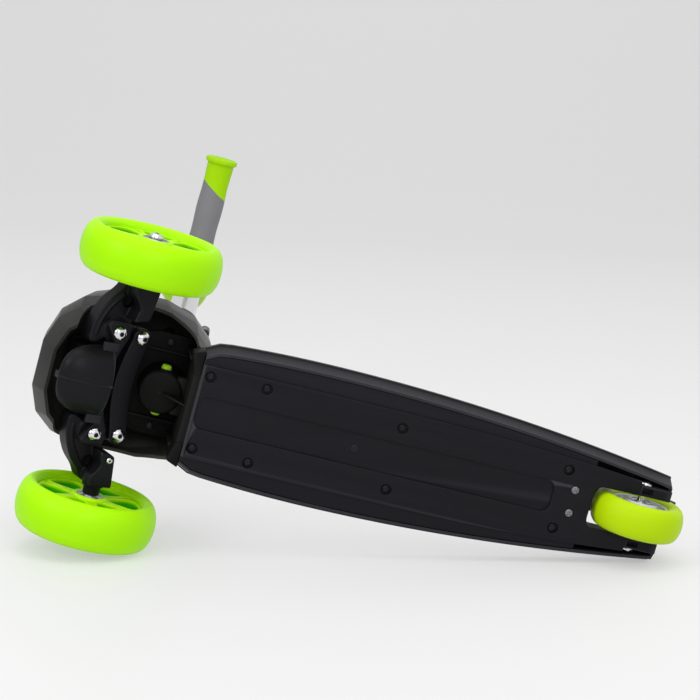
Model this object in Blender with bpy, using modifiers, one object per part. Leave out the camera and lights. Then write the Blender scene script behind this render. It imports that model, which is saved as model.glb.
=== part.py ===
"""A three-wheel kick scooter that steers when the rider leans, modelled at real size.

Two wheels in front hang on knuckles that turn about leaning kingpins, tied together by a
rod behind them. A narrow plastic deck runs back to one small wheel with a foot brake. The
handlebar is a T on a tube that slides in a wider one and is held by a lever clamp.

X runs forward, Y to the rider's left and Z up, in metres. The origin is on the ground,
under the middle of the scooter's length.
"""

import math

import bmesh
import bpy
from mathutils import Matrix, Vector

for item in list(bpy.data.objects):
    bpy.data.objects.remove(item)

# Fits between pieces
SEAT_GAP = 0.0003
RUNNING_GAP = 0.0006

# Wheels
WHEELBASE = 0.4557
FRONT_TRACK = 0.2246
FRONT_WHEEL_RADIUS = 0.060
FRONT_WHEEL_WIDTH = 0.041
FRONT_CORE_RADIUS = 0.0445
FRONT_HUB_WIDTH = 0.031
REAR_WHEEL_RADIUS = 0.040
REAR_WHEEL_WIDTH = 0.031
REAR_CORE_RADIUS = 0.0245
REAR_HUB_WIDTH = 0.026
WHEEL_WEB = 0.006
HUB_WALL = 0.0035
SPOKE_PAIRS = 6

# Bearings and the bolts through them
BEARING_RADIUS = 0.011
BEARING_WIDTH = 0.007
AXLE_RADIUS = 0.004
BOLT_HEAD_RADIUS = 0.0068
BOLT_HEAD_HEIGHT = 0.0046
STUB_RADIUS = 0.0072
STUB_LENGTH = 0.0090

# Deck, with x measured forward from the rear axle
DECK_BOTTOM = 0.0288
DECK_DEPTH = 0.0252
DECK_TAIL = -0.022
DECK_WIDEST = 0.280
DECK_FRONT = 0.393
TAIL_HALF_WIDTH = 0.0375
WIDEST_HALF_WIDTH = 0.0615
FRONT_HALF_WIDTH = 0.0565
DECK_WALL = 0.0032
DECK_FLARE = 0.004
SKIRT_RISE = 0.0012
FOOTPLATE = 0.004
PANEL_HALF_WIDTH = 0.041
PANEL_TAIL_HALF_WIDTH = 0.028
PANEL_FRONT_HALF_WIDTH = 0.0400
PANEL_THICKNESS = 0.0045
PANEL_STEP = 0.002
CHANNEL_HALF_WIDTH = 0.0140
CHANNEL_DEPTH = 0.0018
CHANNEL_TAIL = 0.079
SLOT_CLEARANCE = 0.003
SLOT_FRONT_CLEARANCE = 0.0045
AXLE_NOTCH = 0.0062

# Screws under the deck: their x from the rear axle, and how far they are from the middle
DECK_SCREWS = {"front": (0.3854, 0.0312), "fore": (0.3373, 0.0323), "mid": (0.2184, 0.0270),
               "rear": (0.0708, 0.0260)}
SCREW_RADIUS = 0.0018
SCREW_HEAD_RADIUS = 0.0036
SCREW_HEAD_HEIGHT = 0.0014
SCREW_BOSS_RADIUS = 0.0050
SCREW_RECESS = 0.0016

# Steering: kingpins that lean forward at the top
KINGPIN_LEAN = math.radians(25.0)
KINGPIN_SPAN = 0.0882
KINGPIN_AHEAD = 0.0098
AXLE_ABOVE_CARRIER = 0.0045
CARRIER_PLATE = 0.0070
KNUCKLE_HEIGHT = 0.0184
KNUCKLE_BOSS_RADIUS = 0.0110
CARRIER_FRONT = 0.0145
CARRIER_HALF_WIDTH = 0.016
CARRIER_BOLT_AHEAD = 0.0068
CARRIER_BOLT_REACH = 0.012
COVER_LENGTH = 0.043
COVER_HALF_WIDTH = 0.0315
COVER_DEPTH = 0.018
COVER_WALL = 0.0028
TIE_ROD_BEHIND = 0.0225
TIE_ROD_INSET = 0.0015
TIE_ROD_HALF_WIDTH = 0.0072
TIE_ROD_BOW = 0.006
TIE_BOLT_RADIUS = 0.0025
OPEN_PIVOT_GAP = 0.0010
SPRING_WIRE = 0.0008
RETURN_SPRING_RADIUS = 0.0066
RETURN_SPRING_TURNS = 3

# Front casing, with x measured forward from the rear axle
NOSE_REACH = 0.525
CASING_WALL = 0.0028
CASING_HALF_WIDTH = 0.069
CASING_TOP = 0.166
ARCH_RADIUS = 0.051
ARCH_X = 0.450

# Front chassis, which carries the carrier, the stem and the casing
CHASSIS_HALF_WIDTH = 0.040
CHASSIS_TONGUE = 0.060
CEILING_BOTTOM = 0.106
CEILING_THICKNESS = 0.006
CEILING_HALF_WIDTH = 0.0455
CEILING_FRONT = 0.502
BULKHEAD = 0.006
CASING_SCREW_X = 0.4180
CASING_SCREW_Y = 0.0375

# Stem and handlebar
STEM_TILT = math.radians(4.86)
STEM_FOOT_X = 0.4192
STEM_FOOT_Z = 0.071
SOCKET_RADIUS = 0.021
SOCKET_DEPTH = 0.058
SOCKET_FLOOR = 0.006
LOWER_TUBE_RADIUS = 0.0170
UPPER_TUBE_RADIUS = 0.0140
TUBE_WALL = 0.0018
LOWER_TUBE_TOP = 0.322
TUBE_OVERLAP = 0.085
BAR_HEIGHT = 0.6483
BAR_RADIUS = 0.011
BAR_WALL = 0.0016
BAR_HALF_LENGTH = 0.1392
JOINT_HALF_LENGTH = 0.033
JOINT_BACK = 0.023
JOINT_FRONT = 0.034
GRIP_RADIUS = 0.0145
GRIP_FLANGE_RADIUS = 0.0172
GRIP_FLANGE = 0.0055
GRIP_END_WALL = 0.0025
COLLAR_RADIUS = 0.0215
COLLAR_HEIGHT = 0.030
COLLAR_ABOVE_TUBE = 0.005
LEVER_THICKNESS = 0.005
LEVER_HEIGHT = 0.014
LEVER_SWEEP = math.radians(125.0)
LEVER_SLOT_FAN = math.radians(110.0)
LEVER_PIN_RADIUS = 0.0031
COLLAR_BOLT_RADIUS = 0.0025
STEM_BUTTON_RADIUS = 0.0043
STEM_BUTTON_RISE = 0.0140
STEM_BUTTON_STANDS_OUT = 0.0035

# Foot brake
BRAKE_SCREW_X = 0.0606
BRAKE_SCREW_Y = 0.0102
BRAKE_GAP = 0.005
BRAKE_THICKNESS = 0.003
BRAKE_HALF_WIDTH = 0.013
BRAKE_PIN_RADIUS = 0.002
BRAKE_PIN_AHEAD = 0.0510
BRAKE_PIN_RISE = 0.0085
BRAKE_FRONT_ANGLE = math.radians(58.0)
BRAKE_REAR_ANGLE = math.radians(144.0)
BRAKE_EYE_RADIUS = 0.0038
BRACKET_EAR = 0.0095
BRAKE_SPRING_TURNS = 4

# Places that follow from the sizes above
REAR_AXLE_X = -(NOSE_REACH - REAR_WHEEL_RADIUS) / 2
FRONT_AXLE_X = REAR_AXLE_X + WHEELBASE
HALF_TRACK = FRONT_TRACK / 2
DECK_TOP = DECK_BOTTOM + DECK_DEPTH
SKIRT_BOTTOM = DECK_BOTTOM + SKIRT_RISE
PANEL_TOP = DECK_BOTTOM + PANEL_THICKNESS
CAVITY_TOP = DECK_TOP - FOOTPLATE
SLOT_HALF_WIDTH = REAR_WHEEL_WIDTH / 2 + SLOT_CLEARANCE
SLOT_FRONT = REAR_WHEEL_RADIUS + SLOT_FRONT_CLEARANCE
EAR_OUTSIDE = PANEL_TAIL_HALF_WIDTH
CARRIER_Z = FRONT_WHEEL_RADIUS - AXLE_ABOVE_CARRIER
HALF_SPAN = KINGPIN_SPAN / 2
KNUCKLE_BOTTOM = CARRIER_PLATE + SEAT_GAP
KNUCKLE_TOP = KNUCKLE_BOTTOM + KNUCKLE_HEIGHT
UPPER_PLATE_BOTTOM = KNUCKLE_TOP + SEAT_GAP
CARRIER_TOP = UPPER_PLATE_BOTTOM + CARRIER_PLATE
CEILING_TOP = CEILING_BOTTOM + CEILING_THICKNESS
UPPER_TUBE_BOTTOM = LOWER_TUBE_TOP - TUBE_OVERLAP
HUB_FACE = HALF_TRACK - FRONT_HUB_WIDTH / 2
STUB_END = HUB_FACE - SEAT_GAP

parts = bpy.data.collections.new("kick_scooter")
bpy.context.scene.collection.children.link(parts)
cutters = bpy.data.collections.new("cutters")
bpy.context.scene.collection.children.link(cutters)


# Materials

def material(name, colour, roughness, metallic=0.0):
    made = bpy.data.materials.new(name)
    made.use_nodes = True
    shader = made.node_tree.nodes["Principled BSDF"]
    shader.inputs["Base Color"].default_value = (*colour, 1.0)
    shader.inputs["Roughness"].default_value = roughness
    shader.inputs["Metallic"].default_value = metallic
    return made


BLACK = material("black_plastic", (0.018, 0.018, 0.020), 0.45)
GLOSS_BLACK = material("gloss_black_plastic", (0.012, 0.013, 0.014), 0.22)
LIME = material("lime_plastic", (0.36, 0.74, 0.02), 0.35)
LIME_TYRE = material("lime_tyre", (0.42, 0.86, 0.02), 0.40)
GREY_RUBBER = material("grey_rubber", (0.16, 0.16, 0.18), 0.75)
PALE_PLASTIC = material("pale_plastic", (0.55, 0.57, 0.62), 0.40)
CHROME = material("chrome", (0.82, 0.82, 0.84), 0.12, 1.0)
STEEL = material("zinc_steel", (0.60, 0.61, 0.63), 0.32, 1.0)
DARK_STEEL = material("black_steel", (0.05, 0.05, 0.055), 0.40, 1.0)
ALUMINIUM = material("silver_aluminium", (0.72, 0.73, 0.75), 0.28, 1.0)


# Shapes

def adopt(obj, collection, surface=None, parent=None, place=(0, 0, 0), turn=(0, 0, 0)):
    """Puts the object in a collection, gives it its material, and sets its place in its parent."""
    for old in list(obj.users_collection):
        old.objects.unlink(obj)
    collection.objects.link(obj)
    obj.data.materials.clear()
    if surface:
        obj.data.materials.append(surface)
    obj.parent = parent
    obj.location = place
    obj.rotation_euler = turn
    if collection == cutters:
        obj.hide_render = True
        obj.display_type = "WIRE"
    return obj


def mesh_object(name, bm):
    mesh = bpy.data.meshes.new(name)
    bmesh.ops.recalc_face_normals(bm, faces=bm.faces)
    bm.to_mesh(mesh)
    bm.free()
    mesh.shade_smooth()
    mesh.set_sharp_from_angle(angle=math.radians(30))
    obj = bpy.data.objects.new(name, mesh)
    bpy.context.scene.collection.objects.link(obj)
    return obj


def block(name, low, high):
    """A box between two corners."""
    bm = bmesh.new()
    size = [b - a for a, b in zip(low, high)]
    middle = [(a + b) / 2 for a, b in zip(low, high)]
    bmesh.ops.create_cube(bm, size=1.0, matrix=Matrix.Translation(middle) @ Matrix.Diagonal((*size, 1)))
    return mesh_object(name, bm)


AXIS_TURN = {
    "X": Matrix.Rotation(math.pi / 2, 4, "Y"),
    "Y": Matrix.Rotation(-math.pi / 2, 4, "X"),
    "Z": Matrix.Identity(4),
}


def rod(name, radius, low, high, centre=(0.0, 0.0), axis="Z", sides=24):
    """A cylinder along an axis from low to high, with its centre given in the other two directions."""
    other = {"X": (None, *centre), "Y": (centre[0], None, centre[1]), "Z": (*centre, None)}[axis]
    middle = [(low + high) / 2 if value is None else value for value in other]
    bm = bmesh.new()
    place = Matrix.Translation(middle) @ AXIS_TURN[axis]
    bmesh.ops.create_cone(
        bm, cap_ends=True, segments=sides, radius1=radius, radius2=radius, depth=high - low, matrix=place
    )
    return mesh_object(name, bm)


def turned(name, profile, steps, axis="Z"):
    """A closed profile of (radius, height) points, turned about an axis by a Screw modifier."""
    bm = bmesh.new()
    points = [bm.verts.new((radius, 0, height)) for radius, height in profile]
    for first, second in zip(points, points[1:] + points[:1]):
        if first.co.x > 0 or second.co.x > 0:
            bm.edges.new((first, second))
    mesh = bpy.data.meshes.new(name)
    bm.to_mesh(mesh)
    bm.free()
    mesh.transform(Matrix.Identity(4))
    obj = bpy.data.objects.new(name, mesh)
    bpy.context.scene.collection.objects.link(obj)
    screw = obj.modifiers.new("turn", "SCREW")
    screw.steps = steps
    screw.render_steps = steps
    screw.use_merge_vertices = True
    screw.merge_threshold = 0.00002
    screw.use_smooth_shade = True
    solid = baked(obj)
    solid.data.transform(AXIS_TURN[axis])
    return solid


def baked(obj):
    """The object as a plain mesh: modifiers applied, a curve's loose caps welded, faces turned outward."""
    bpy.context.view_layer.update()
    graph = bpy.context.evaluated_depsgraph_get()
    mesh = bpy.data.meshes.new_from_object(obj.evaluated_get(graph), depsgraph=graph)
    name = obj.name
    place = obj.matrix_world.copy()
    bpy.data.objects.remove(obj)
    bm = bmesh.new()
    bm.from_mesh(mesh)
    bpy.data.meshes.remove(mesh)
    bmesh.ops.remove_doubles(bm, verts=bm.verts, dist=0.00002)
    solid = mesh_object(name, bm)
    solid.matrix_world = place
    return solid


def sheet(name, outlines, low, high):
    """A flat outline, with any further outlines as holes in it, made thick from low to high."""
    curve = bpy.data.curves.new(name, "CURVE")
    curve.dimensions = "2D"
    curve.fill_mode = "BOTH"
    curve.extrude = (high - low) / 2
    for points in outlines:
        spline = curve.splines.new("POLY")
        spline.points.add(len(points) - 1)
        for point, (x, y) in zip(spline.points, points):
            point.co = (x, y, 0, 1)
        spline.use_cyclic_u = True
    obj = bpy.data.objects.new(name, curve)
    bpy.context.scene.collection.objects.link(obj)
    solid = baked(obj)
    solid.data.transform(Matrix.Translation((0, 0, (low + high) / 2)))
    return solid


def side_sheet(name, outline, half_width):
    """A flat outline in X and Z, made thick from side to side."""
    solid = sheet(name, [outline], -half_width, half_width)
    solid.data.transform(Matrix.Rotation(math.pi / 2, 4, "X"))
    return solid


def wire(name, points, radius, resolution=1):
    """A round wire along points, with closed ends."""
    curve = bpy.data.curves.new(name, "CURVE")
    curve.dimensions = "3D"
    curve.bevel_depth = radius
    curve.bevel_resolution = resolution
    curve.use_fill_caps = True
    spline = curve.splines.new("POLY")
    spline.points.add(len(points) - 1)
    for point, place in zip(spline.points, points):
        point.co = (*place, 1)
    obj = bpy.data.objects.new(name, curve)
    bpy.context.scene.collection.objects.link(obj)
    return baked(obj)


def arc(radius, start, end, count, centre=(0.0, 0.0)):
    """Points along an arc, with angles in radians."""
    steps = [start + (end - start) * i / (count - 1) for i in range(count)]
    return [(centre[0] + radius * math.cos(a), centre[1] + radius * math.sin(a)) for a in steps]


def ring_points(radius, count, centre=(0.0, 0.0)):
    return arc(radius, 0, math.tau, count + 1, centre)[:-1]


def pill(first, second, radius, count=6):
    """The outline of a bar with round ends between two points."""
    heading = math.atan2(second[1] - first[1], second[0] - first[0])
    return (arc(radius, heading - math.pi / 2, heading + math.pi / 2, count, second)
            + arc(radius, heading + math.pi / 2, heading + 3 * math.pi / 2, count, first))


def boolean(target, other, operation):
    """Cuts one object from another, or joins it on, and keeps the other as a hidden helper."""
    step = target.modifiers.new(other.name, "BOOLEAN")
    step.operation = operation
    step.object = other
    if other.name not in cutters.objects:
        place, turn, parent = other.location.copy(), other.rotation_euler.copy(), other.parent
        adopt(other, cutters, parent=parent, place=place, turn=turn)


def cut(target, *others):
    for other in others:
        boolean(target, other, "DIFFERENCE")


def join(target, *others):
    for other in others:
        boolean(target, other, "UNION")


def rounded(obj, width, segments=2, angle=50.0):
    bevel = obj.modifiers.new("round", "BEVEL")
    bevel.width = width
    bevel.segments = segments
    bevel.limit_method = "ANGLE"
    bevel.angle_limit = math.radians(angle)
    return obj


def frame(name, place, turn=(0, 0, 0), parent=None):
    empty = bpy.data.objects.new(name, None)
    empty.location = place
    empty.rotation_euler = turn
    empty.parent = parent
    parts.objects.link(empty)
    return empty


# The frames that the groups are built in
rear = frame("rear_axle_frame", (REAR_AXLE_X, 0, 0))
steering = frame("steering_frame", (FRONT_AXLE_X + KINGPIN_AHEAD, 0, CARRIER_Z), (0, KINGPIN_LEAN, 0))
stem = frame("stem_frame", (REAR_AXLE_X + STEM_FOOT_X, 0, STEM_FOOT_Z), (0, -STEM_TILT, 0))


# Deck

def bowed(x, tail, widest, front, power):
    """A half width that falls off from the deck's widest place towards the tail and the front."""
    if x < DECK_WIDEST:
        share = (DECK_WIDEST - x) / (DECK_WIDEST - DECK_TAIL)
        return widest - (widest - tail) * share**power
    share = (x - DECK_WIDEST) / (DECK_FRONT - DECK_WIDEST)
    return widest - (widest - front) * share**power


def deck_half_width(x):
    """Half the width of the deck's top edge."""
    return bowed(x, TAIL_HALF_WIDTH, WIDEST_HALF_WIDTH, FRONT_HALF_WIDTH, 2)


def panel_half_width(x):
    """Half the width of the flat panel under the deck, which narrows towards the wheel."""
    return bowed(x, PANEL_TAIL_HALF_WIDTH, PANEL_HALF_WIDTH, PANEL_FRONT_HALF_WIDTH, 3)


def deck_outline(back, front, half_width, count=12):
    """A closed outline down both sides of the deck."""
    places = [back + (front - back) * i / (count - 1) for i in range(count)]
    left = [(x, half_width(x)) for x in places]
    return left[::-1] + [(x, -y) for x, y in left]


def slot_cutter(name, low, high, extra=0.0):
    """The gap that the rear wheel runs in, with round corners at its front."""
    half = SLOT_HALF_WIDTH + extra
    corner = 0.008
    front = SLOT_FRONT + extra
    outline = [(DECK_TAIL - 0.01, -half)] + arc(corner, -math.pi / 2, 0, 5, (front - corner, corner - half))
    outline += arc(corner, 0, math.pi / 2, 5, (front - corner, half - corner)) + [(DECK_TAIL - 0.01, half)]
    return adopt(sheet(name, [outline], low, high), cutters, parent=rear)


def screw_places():
    for label, (x, y) in DECK_SCREWS.items():
        yield label + "_left", x, y
        yield label + "_right", x, -y


def make_deck_top():
    top = sheet("deck_top", [deck_outline(DECK_TAIL, DECK_FRONT, deck_half_width)], SKIRT_BOTTOM, DECK_TOP)
    for vertex in top.data.vertices:
        if vertex.co.z < DECK_TOP - 0.001:
            vertex.co.y -= math.copysign(DECK_FLARE, vertex.co.y)
    adopt(top, parts, BLACK, rear)
    rounded(top, 0.0022, 1, 60.0)
    inset = DECK_FLARE + DECK_WALL
    cavity_back = SLOT_FRONT + DECK_WALL
    cavity = deck_outline(cavity_back, DECK_FRONT + 0.01,
                          lambda x: deck_half_width(min(x, DECK_FRONT)) - inset)
    cut(top, adopt(sheet("deck_cavity", [cavity], 0, CAVITY_TOP), cutters, parent=rear))
    cut(top, slot_cutter("deck_slot", 0, DECK_TOP + 0.01))
    for side, label in ((1, "left"), (-1, "right")):
        groove = [(x, side * (EAR_OUTSIDE + SEAT_GAP))
                  for x in (DECK_TAIL + DECK_WALL, cavity_back + 0.002)]
        groove += [(x, side * (deck_half_width(x) - inset))
                   for x in (cavity_back + 0.002, 0.02, DECK_TAIL + DECK_WALL)]
        cut(top, adopt(sheet("ear_groove_" + label, [groove], 0, CAVITY_TOP), cutters, parent=rear))
    bosses = [(x, y) for label, x, y in screw_places() if label.startswith(("mid", "rear"))]
    for number, (x, y) in enumerate(bosses):
        boss = rod(f"deck_boss_{number}", SCREW_BOSS_RADIUS, PANEL_TOP + SEAT_GAP, CAVITY_TOP + 0.001,
                   (x, y), sides=10)
        join(top, adopt(boss, cutters, parent=rear))
    ear = EAR_OUTSIDE + SEAT_GAP
    floor = block("ear_floor", (DECK_TAIL - 0.01, -ear, 0), (cavity_back, ear, PANEL_TOP + SEAT_GAP))
    cut(top, adopt(floor, cutters, parent=rear))
    for side, label in ((1, "left"), (-1, "right")):
        y0, y1 = sorted((side * SLOT_HALF_WIDTH, side * EAR_OUTSIDE))
        pad = block("ear_pad_" + label, (DECK_TAIL, y0, DECK_BOTTOM), (-AXLE_NOTCH, y1, PANEL_TOP + 0.001))
        join(top, adopt(pad, cutters, parent=rear))
    for number, (x, y) in enumerate(bosses):
        hole = rod(f"deck_hole_{number}", SCREW_RADIUS + SEAT_GAP, 0, CAVITY_TOP - 0.001, (x, y), sides=8)
        cut(top, adopt(hole, cutters, parent=rear))
    axle_z = REAR_WHEEL_RADIUS
    fit = AXLE_RADIUS + SEAT_GAP
    ear_hole = pill((0, axle_z), (0, -0.02), fit)
    notch = side_sheet("axle_slot", ear_hole, EAR_OUTSIDE + SEAT_GAP)
    cut(top, adopt(notch, cutters, parent=rear))
    for side, label in ((1, "left"), (-1, "right")):
        hole = rod("brake_screw_hole_" + label, SCREW_RADIUS + SEAT_GAP, 0, DECK_TOP + 0.01,
                   (BRAKE_SCREW_X, side * BRAKE_SCREW_Y), sides=8)
        cut(top, adopt(hole, cutters, parent=rear))
    return top


def make_deck_bottom():
    bottom = sheet("deck_bottom", [deck_outline(AXLE_NOTCH, DECK_FRONT, panel_half_width)],
                   DECK_BOTTOM, PANEL_TOP)
    adopt(bottom, parts, BLACK, rear)
    inset = DECK_FLARE + DECK_WALL + RUNNING_GAP
    flange = deck_outline(SLOT_FRONT + DECK_WALL + RUNNING_GAP, DECK_FRONT - SEAT_GAP,
                          lambda x: deck_half_width(x) - inset)
    panel_flange = sheet("panel_flange", [flange], DECK_BOTTOM + PANEL_STEP, PANEL_TOP)
    join(bottom, adopt(panel_flange, cutters, parent=rear))
    cut(bottom, slot_cutter("panel_slot", 0, DECK_TOP))
    end = CHANNEL_TAIL + CHANNEL_HALF_WIDTH * 0.5
    corner = CHANNEL_HALF_WIDTH * 0.5
    channel = [(DECK_FRONT - 0.009, -CHANNEL_HALF_WIDTH), (DECK_FRONT - 0.009, CHANNEL_HALF_WIDTH)]
    channel += arc(corner, math.pi / 2, math.pi, 5, (end, CHANNEL_HALF_WIDTH - corner))
    channel += arc(corner, math.pi, 1.5 * math.pi, 5, (end, corner - CHANNEL_HALF_WIDTH))
    channel_top = DECK_BOTTOM + CHANNEL_DEPTH
    cut(bottom, adopt(sheet("panel_channel", [channel], 0, channel_top), cutters, parent=rear))
    for label, x, y in screw_places():
        recess = rod("recess_" + label, SCREW_HEAD_RADIUS + SEAT_GAP, 0,
                     DECK_BOTTOM + SCREW_RECESS + SCREW_HEAD_HEIGHT + SEAT_GAP,
                     (x, y), sides=10)
        hole = rod("panel_hole_" + label, SCREW_RADIUS + SEAT_GAP, 0, DECK_TOP, (x, y), sides=8)
        cut(bottom, adopt(recess, cutters, parent=rear), adopt(hole, cutters, parent=rear))
    for side, label in ((1, "left"), (-1, "right")):
        place = (BRAKE_SCREW_X, side * BRAKE_SCREW_Y)
        recess = rod("brake_recess_" + label, SCREW_HEAD_RADIUS + SEAT_GAP, 0,
                     DECK_BOTTOM + SCREW_HEAD_HEIGHT + SEAT_GAP,
                     place, sides=10)
        hole = rod("brake_panel_hole_" + label, SCREW_RADIUS + SEAT_GAP, 0, DECK_TOP, place, sides=8)
        cut(bottom, adopt(recess, cutters, parent=rear), adopt(hole, cutters, parent=rear))
    return bottom


def make_screw(name, x, y, head_bottom, tip, surface):
    """A screw that points up, with a low domed head, standing in the rear axle's frame."""
    head_top = head_bottom + SCREW_HEAD_HEIGHT
    profile = [(0, tip), (SCREW_RADIUS, tip - SCREW_RADIUS), (SCREW_RADIUS, head_top),
               (SCREW_HEAD_RADIUS, head_top), (SCREW_HEAD_RADIUS * 0.8, head_bottom), (0, head_bottom)]
    return adopt(turned(name, profile, 8), parts, surface, rear, (x, y, 0))


make_deck_top()
make_deck_bottom()
for label, x, y in screw_places():
    make_screw("deck_screw_" + label, x, y, DECK_BOTTOM + SCREW_RECESS, CAVITY_TOP - 0.002, DARK_STEEL)
BRACKET_TOP = DECK_TOP + SEAT_GAP + 0.004
for side, label in ((1, "left"), (-1, "right")):
    make_screw("brake_screw_" + label, BRAKE_SCREW_X, side * BRAKE_SCREW_Y, DECK_BOTTOM,
               BRACKET_TOP - 0.0006, STEEL)


# Front chassis, carrier and cover

def make_chassis():
    x0 = DECK_FRONT + SEAT_GAP
    tongue_top = CAVITY_TOP - SEAT_GAP
    profile = [
        (x0 - CHASSIS_TONGUE, PANEL_TOP + SEAT_GAP), (x0 + BULKHEAD, PANEL_TOP + SEAT_GAP),
        (x0 + BULKHEAD, CEILING_BOTTOM), (x0 + BULKHEAD + 0.01, CEILING_BOTTOM),
        (x0 + BULKHEAD + 0.01, CEILING_TOP), (x0, CEILING_TOP), (x0, tongue_top),
        (x0 - CHASSIS_TONGUE, tongue_top),
    ]
    chassis = side_sheet("front_chassis", profile, CHASSIS_HALF_WIDTH)
    adopt(chassis, parts, BLACK, rear)
    narrow = 0.024
    plan = [(x0, CEILING_HALF_WIDTH), (CASING_SCREW_X + 0.012, CEILING_HALF_WIDTH), (CEILING_FRONT, narrow)]
    plan = plan + [(x, -y) for x, y in reversed(plan)]
    ceiling = sheet("chassis_ceiling", [plan], CEILING_BOTTOM, CEILING_TOP)
    join(chassis, adopt(ceiling, cutters, parent=rear))
    socket = rod("chassis_socket", SOCKET_RADIUS, -SEAT_GAP, SOCKET_DEPTH, sides=24)
    join(chassis, adopt(rounded(socket, 0.003, 1), cutters, parent=stem))
    drop = block("chassis_drop", (0, -narrow + 0.002, CARRIER_TOP + SEAT_GAP),
                 (CARRIER_FRONT, narrow - 0.002, 0.0595))
    join(chassis, adopt(drop, cutters, parent=steering))
    bolt_hole = rod("drop_bolt_hole", AXLE_RADIUS + SEAT_GAP, CARRIER_TOP,
                    CARRIER_TOP + CARRIER_BOLT_REACH + 0.001,
                    (CARRIER_BOLT_AHEAD, 0), sides=14)
    cut(chassis, adopt(bolt_hole, cutters, parent=steering))
    bore = rod("socket_bore", LOWER_TUBE_RADIUS + SEAT_GAP, SOCKET_FLOOR, SOCKET_DEPTH + 0.01, sides=24)
    cut(chassis, adopt(bore, cutters, parent=stem))
    buttons = rod("button_bore", STEM_BUTTON_RADIUS + SEAT_GAP, -0.05, 0.05, (0, STEM_BUTTON_RISE), "Y", 14)
    cut(chassis, adopt(buttons, cutters, parent=stem))
    for label, x, y in screw_places():
        if label.startswith(("front", "fore")):
            hole = rod("tongue_hole_" + label, SCREW_RADIUS + SEAT_GAP, 0, CAVITY_TOP - 0.0015, (x, y),
                       sides=8)
            cut(chassis, adopt(hole, cutters, parent=rear))
    for side, label in ((1, "left"), (-1, "right")):
        hole = rod("ceiling_hole_" + label, SCREW_RADIUS + SEAT_GAP, 0, CASING_TOP,
                   (CASING_SCREW_X, side * CASING_SCREW_Y), sides=8)
        cut(chassis, adopt(hole, cutters, parent=rear))
    return chassis


def carrier_plate_outline(front):
    """Round ends at the kingpins and a waist between them, its rear edge drawn in."""
    waist = 0.0015
    shoulder = COVER_HALF_WIDTH + 0.001
    left = arc(KNUCKLE_BOSS_RADIUS, math.radians(-20), math.radians(200), 9, (0, HALF_SPAN))
    rear_edge = [(-waist - 0.0045, shoulder - 0.006), (-waist, CARRIER_HALF_WIDTH)]
    right_edge = [(x, -y) for x, y in reversed(rear_edge)]
    right = [(x, -y) for x, y in reversed(left)]
    front_edge = [(front, -shoulder), (front, shoulder)]
    return left + rear_edge + right_edge + right + front_edge


def make_carrier():
    carrier = sheet("carrier", [carrier_plate_outline(0.0)], 0, CARRIER_PLATE)
    adopt(carrier, parts, BLACK, steering)
    upper = sheet("carrier_upper", [carrier_plate_outline(CARRIER_FRONT * 0.6)], UPPER_PLATE_BOTTOM,
                  CARRIER_TOP)
    middle = block("carrier_middle", (-0.0015, -CARRIER_HALF_WIDTH, CARRIER_PLATE - 0.001),
                   (CARRIER_FRONT, CARRIER_HALF_WIDTH, CARRIER_TOP))
    tongue = block("carrier_tongue", (CARRIER_FRONT - 0.001, -CARRIER_HALF_WIDTH * 0.75, KNUCKLE_BOTTOM),
                   (COVER_LENGTH, CARRIER_HALF_WIDTH * 0.75, KNUCKLE_BOTTOM + 0.010))
    join(carrier, adopt(upper, cutters, parent=steering), adopt(middle, cutters, parent=steering),
         adopt(tongue, cutters, parent=steering))
    bolt_hole = rod("carrier_bolt_hole", AXLE_RADIUS + SEAT_GAP, -0.01, CARRIER_TOP + 0.01,
                    (CARRIER_BOLT_AHEAD, 0), sides=14)
    cut(carrier, adopt(bolt_hole, cutters, parent=steering))
    for side, label in ((1, "left"), (-1, "right")):
        hole = rod("carrier_hole_" + label, AXLE_RADIUS + SEAT_GAP, -0.01, CARRIER_TOP + 0.01,
                   (0, side * HALF_SPAN), sides=14)
        cut(carrier, adopt(hole, cutters, parent=steering))
    return carrier


def make_carrier_cover():
    """A half dome below the carrier's tongue, open at the top behind its rim and hollow inside."""
    cover = dome("carrier_cover", COVER_LENGTH, COVER_HALF_WIDTH, COVER_DEPTH)
    adopt(cover, parts, BLACK, steering)
    inner = dome("cover_hollow", COVER_LENGTH - COVER_WALL, COVER_HALF_WIDTH - COVER_WALL,
                 COVER_DEPTH - COVER_WALL)
    cut(cover, adopt(inner, cutters, parent=steering))
    above = block("cover_top", (-0.1, -0.1, CARRIER_PLATE), (0.1, 0.1, 0.1))
    behind = block("cover_back", (-0.1, -0.1, -0.1), (SEAT_GAP, 0.1, 0.1))
    cut(cover, adopt(above, cutters, parent=steering), adopt(behind, cutters, parent=steering))
    return cover


def dome(name, length, half_width, depth):
    bm = bmesh.new()
    size = Matrix.Diagonal((length, half_width, depth, 1))
    bmesh.ops.create_uvsphere(bm, u_segments=20, v_segments=10, radius=1.0,
                              matrix=Matrix.Translation((0, 0, CARRIER_PLATE)) @ size)
    return mesh_object(name, bm)


make_chassis()
make_carrier()
make_carrier_cover()


def bolt_profile(radius, head_radius, head_height, length):
    """A bolt with its head below zero and its shank above, for turning."""
    dome_points = arc(1.0, math.radians(-70), math.radians(-8), 3)
    head = [(head_radius * c, head_height * 0.85 * s - head_height * 0.15) for c, s in dome_points]
    return [(0, length), (radius * 0.8, length), (radius, length - radius * 0.3), (radius, 0),
            (head_radius, 0)] + head[::-1] + [(0, -head_height)]


def make_bolt(name, radius, head_radius, length, surface, parent, place, turn=(0, 0, 0)):
    profile = bolt_profile(radius, head_radius, BOLT_HEAD_HEIGHT, length)
    return adopt(turned(name, profile, 12), parts, surface, parent, place, turn)


# Knuckles, tie rod and their bolts

axle_in_steering = Matrix.Rotation(-KINGPIN_LEAN, 3, "Y") @ Vector((-KINGPIN_AHEAD, 0, AXLE_ABOVE_CARRIER))


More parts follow.
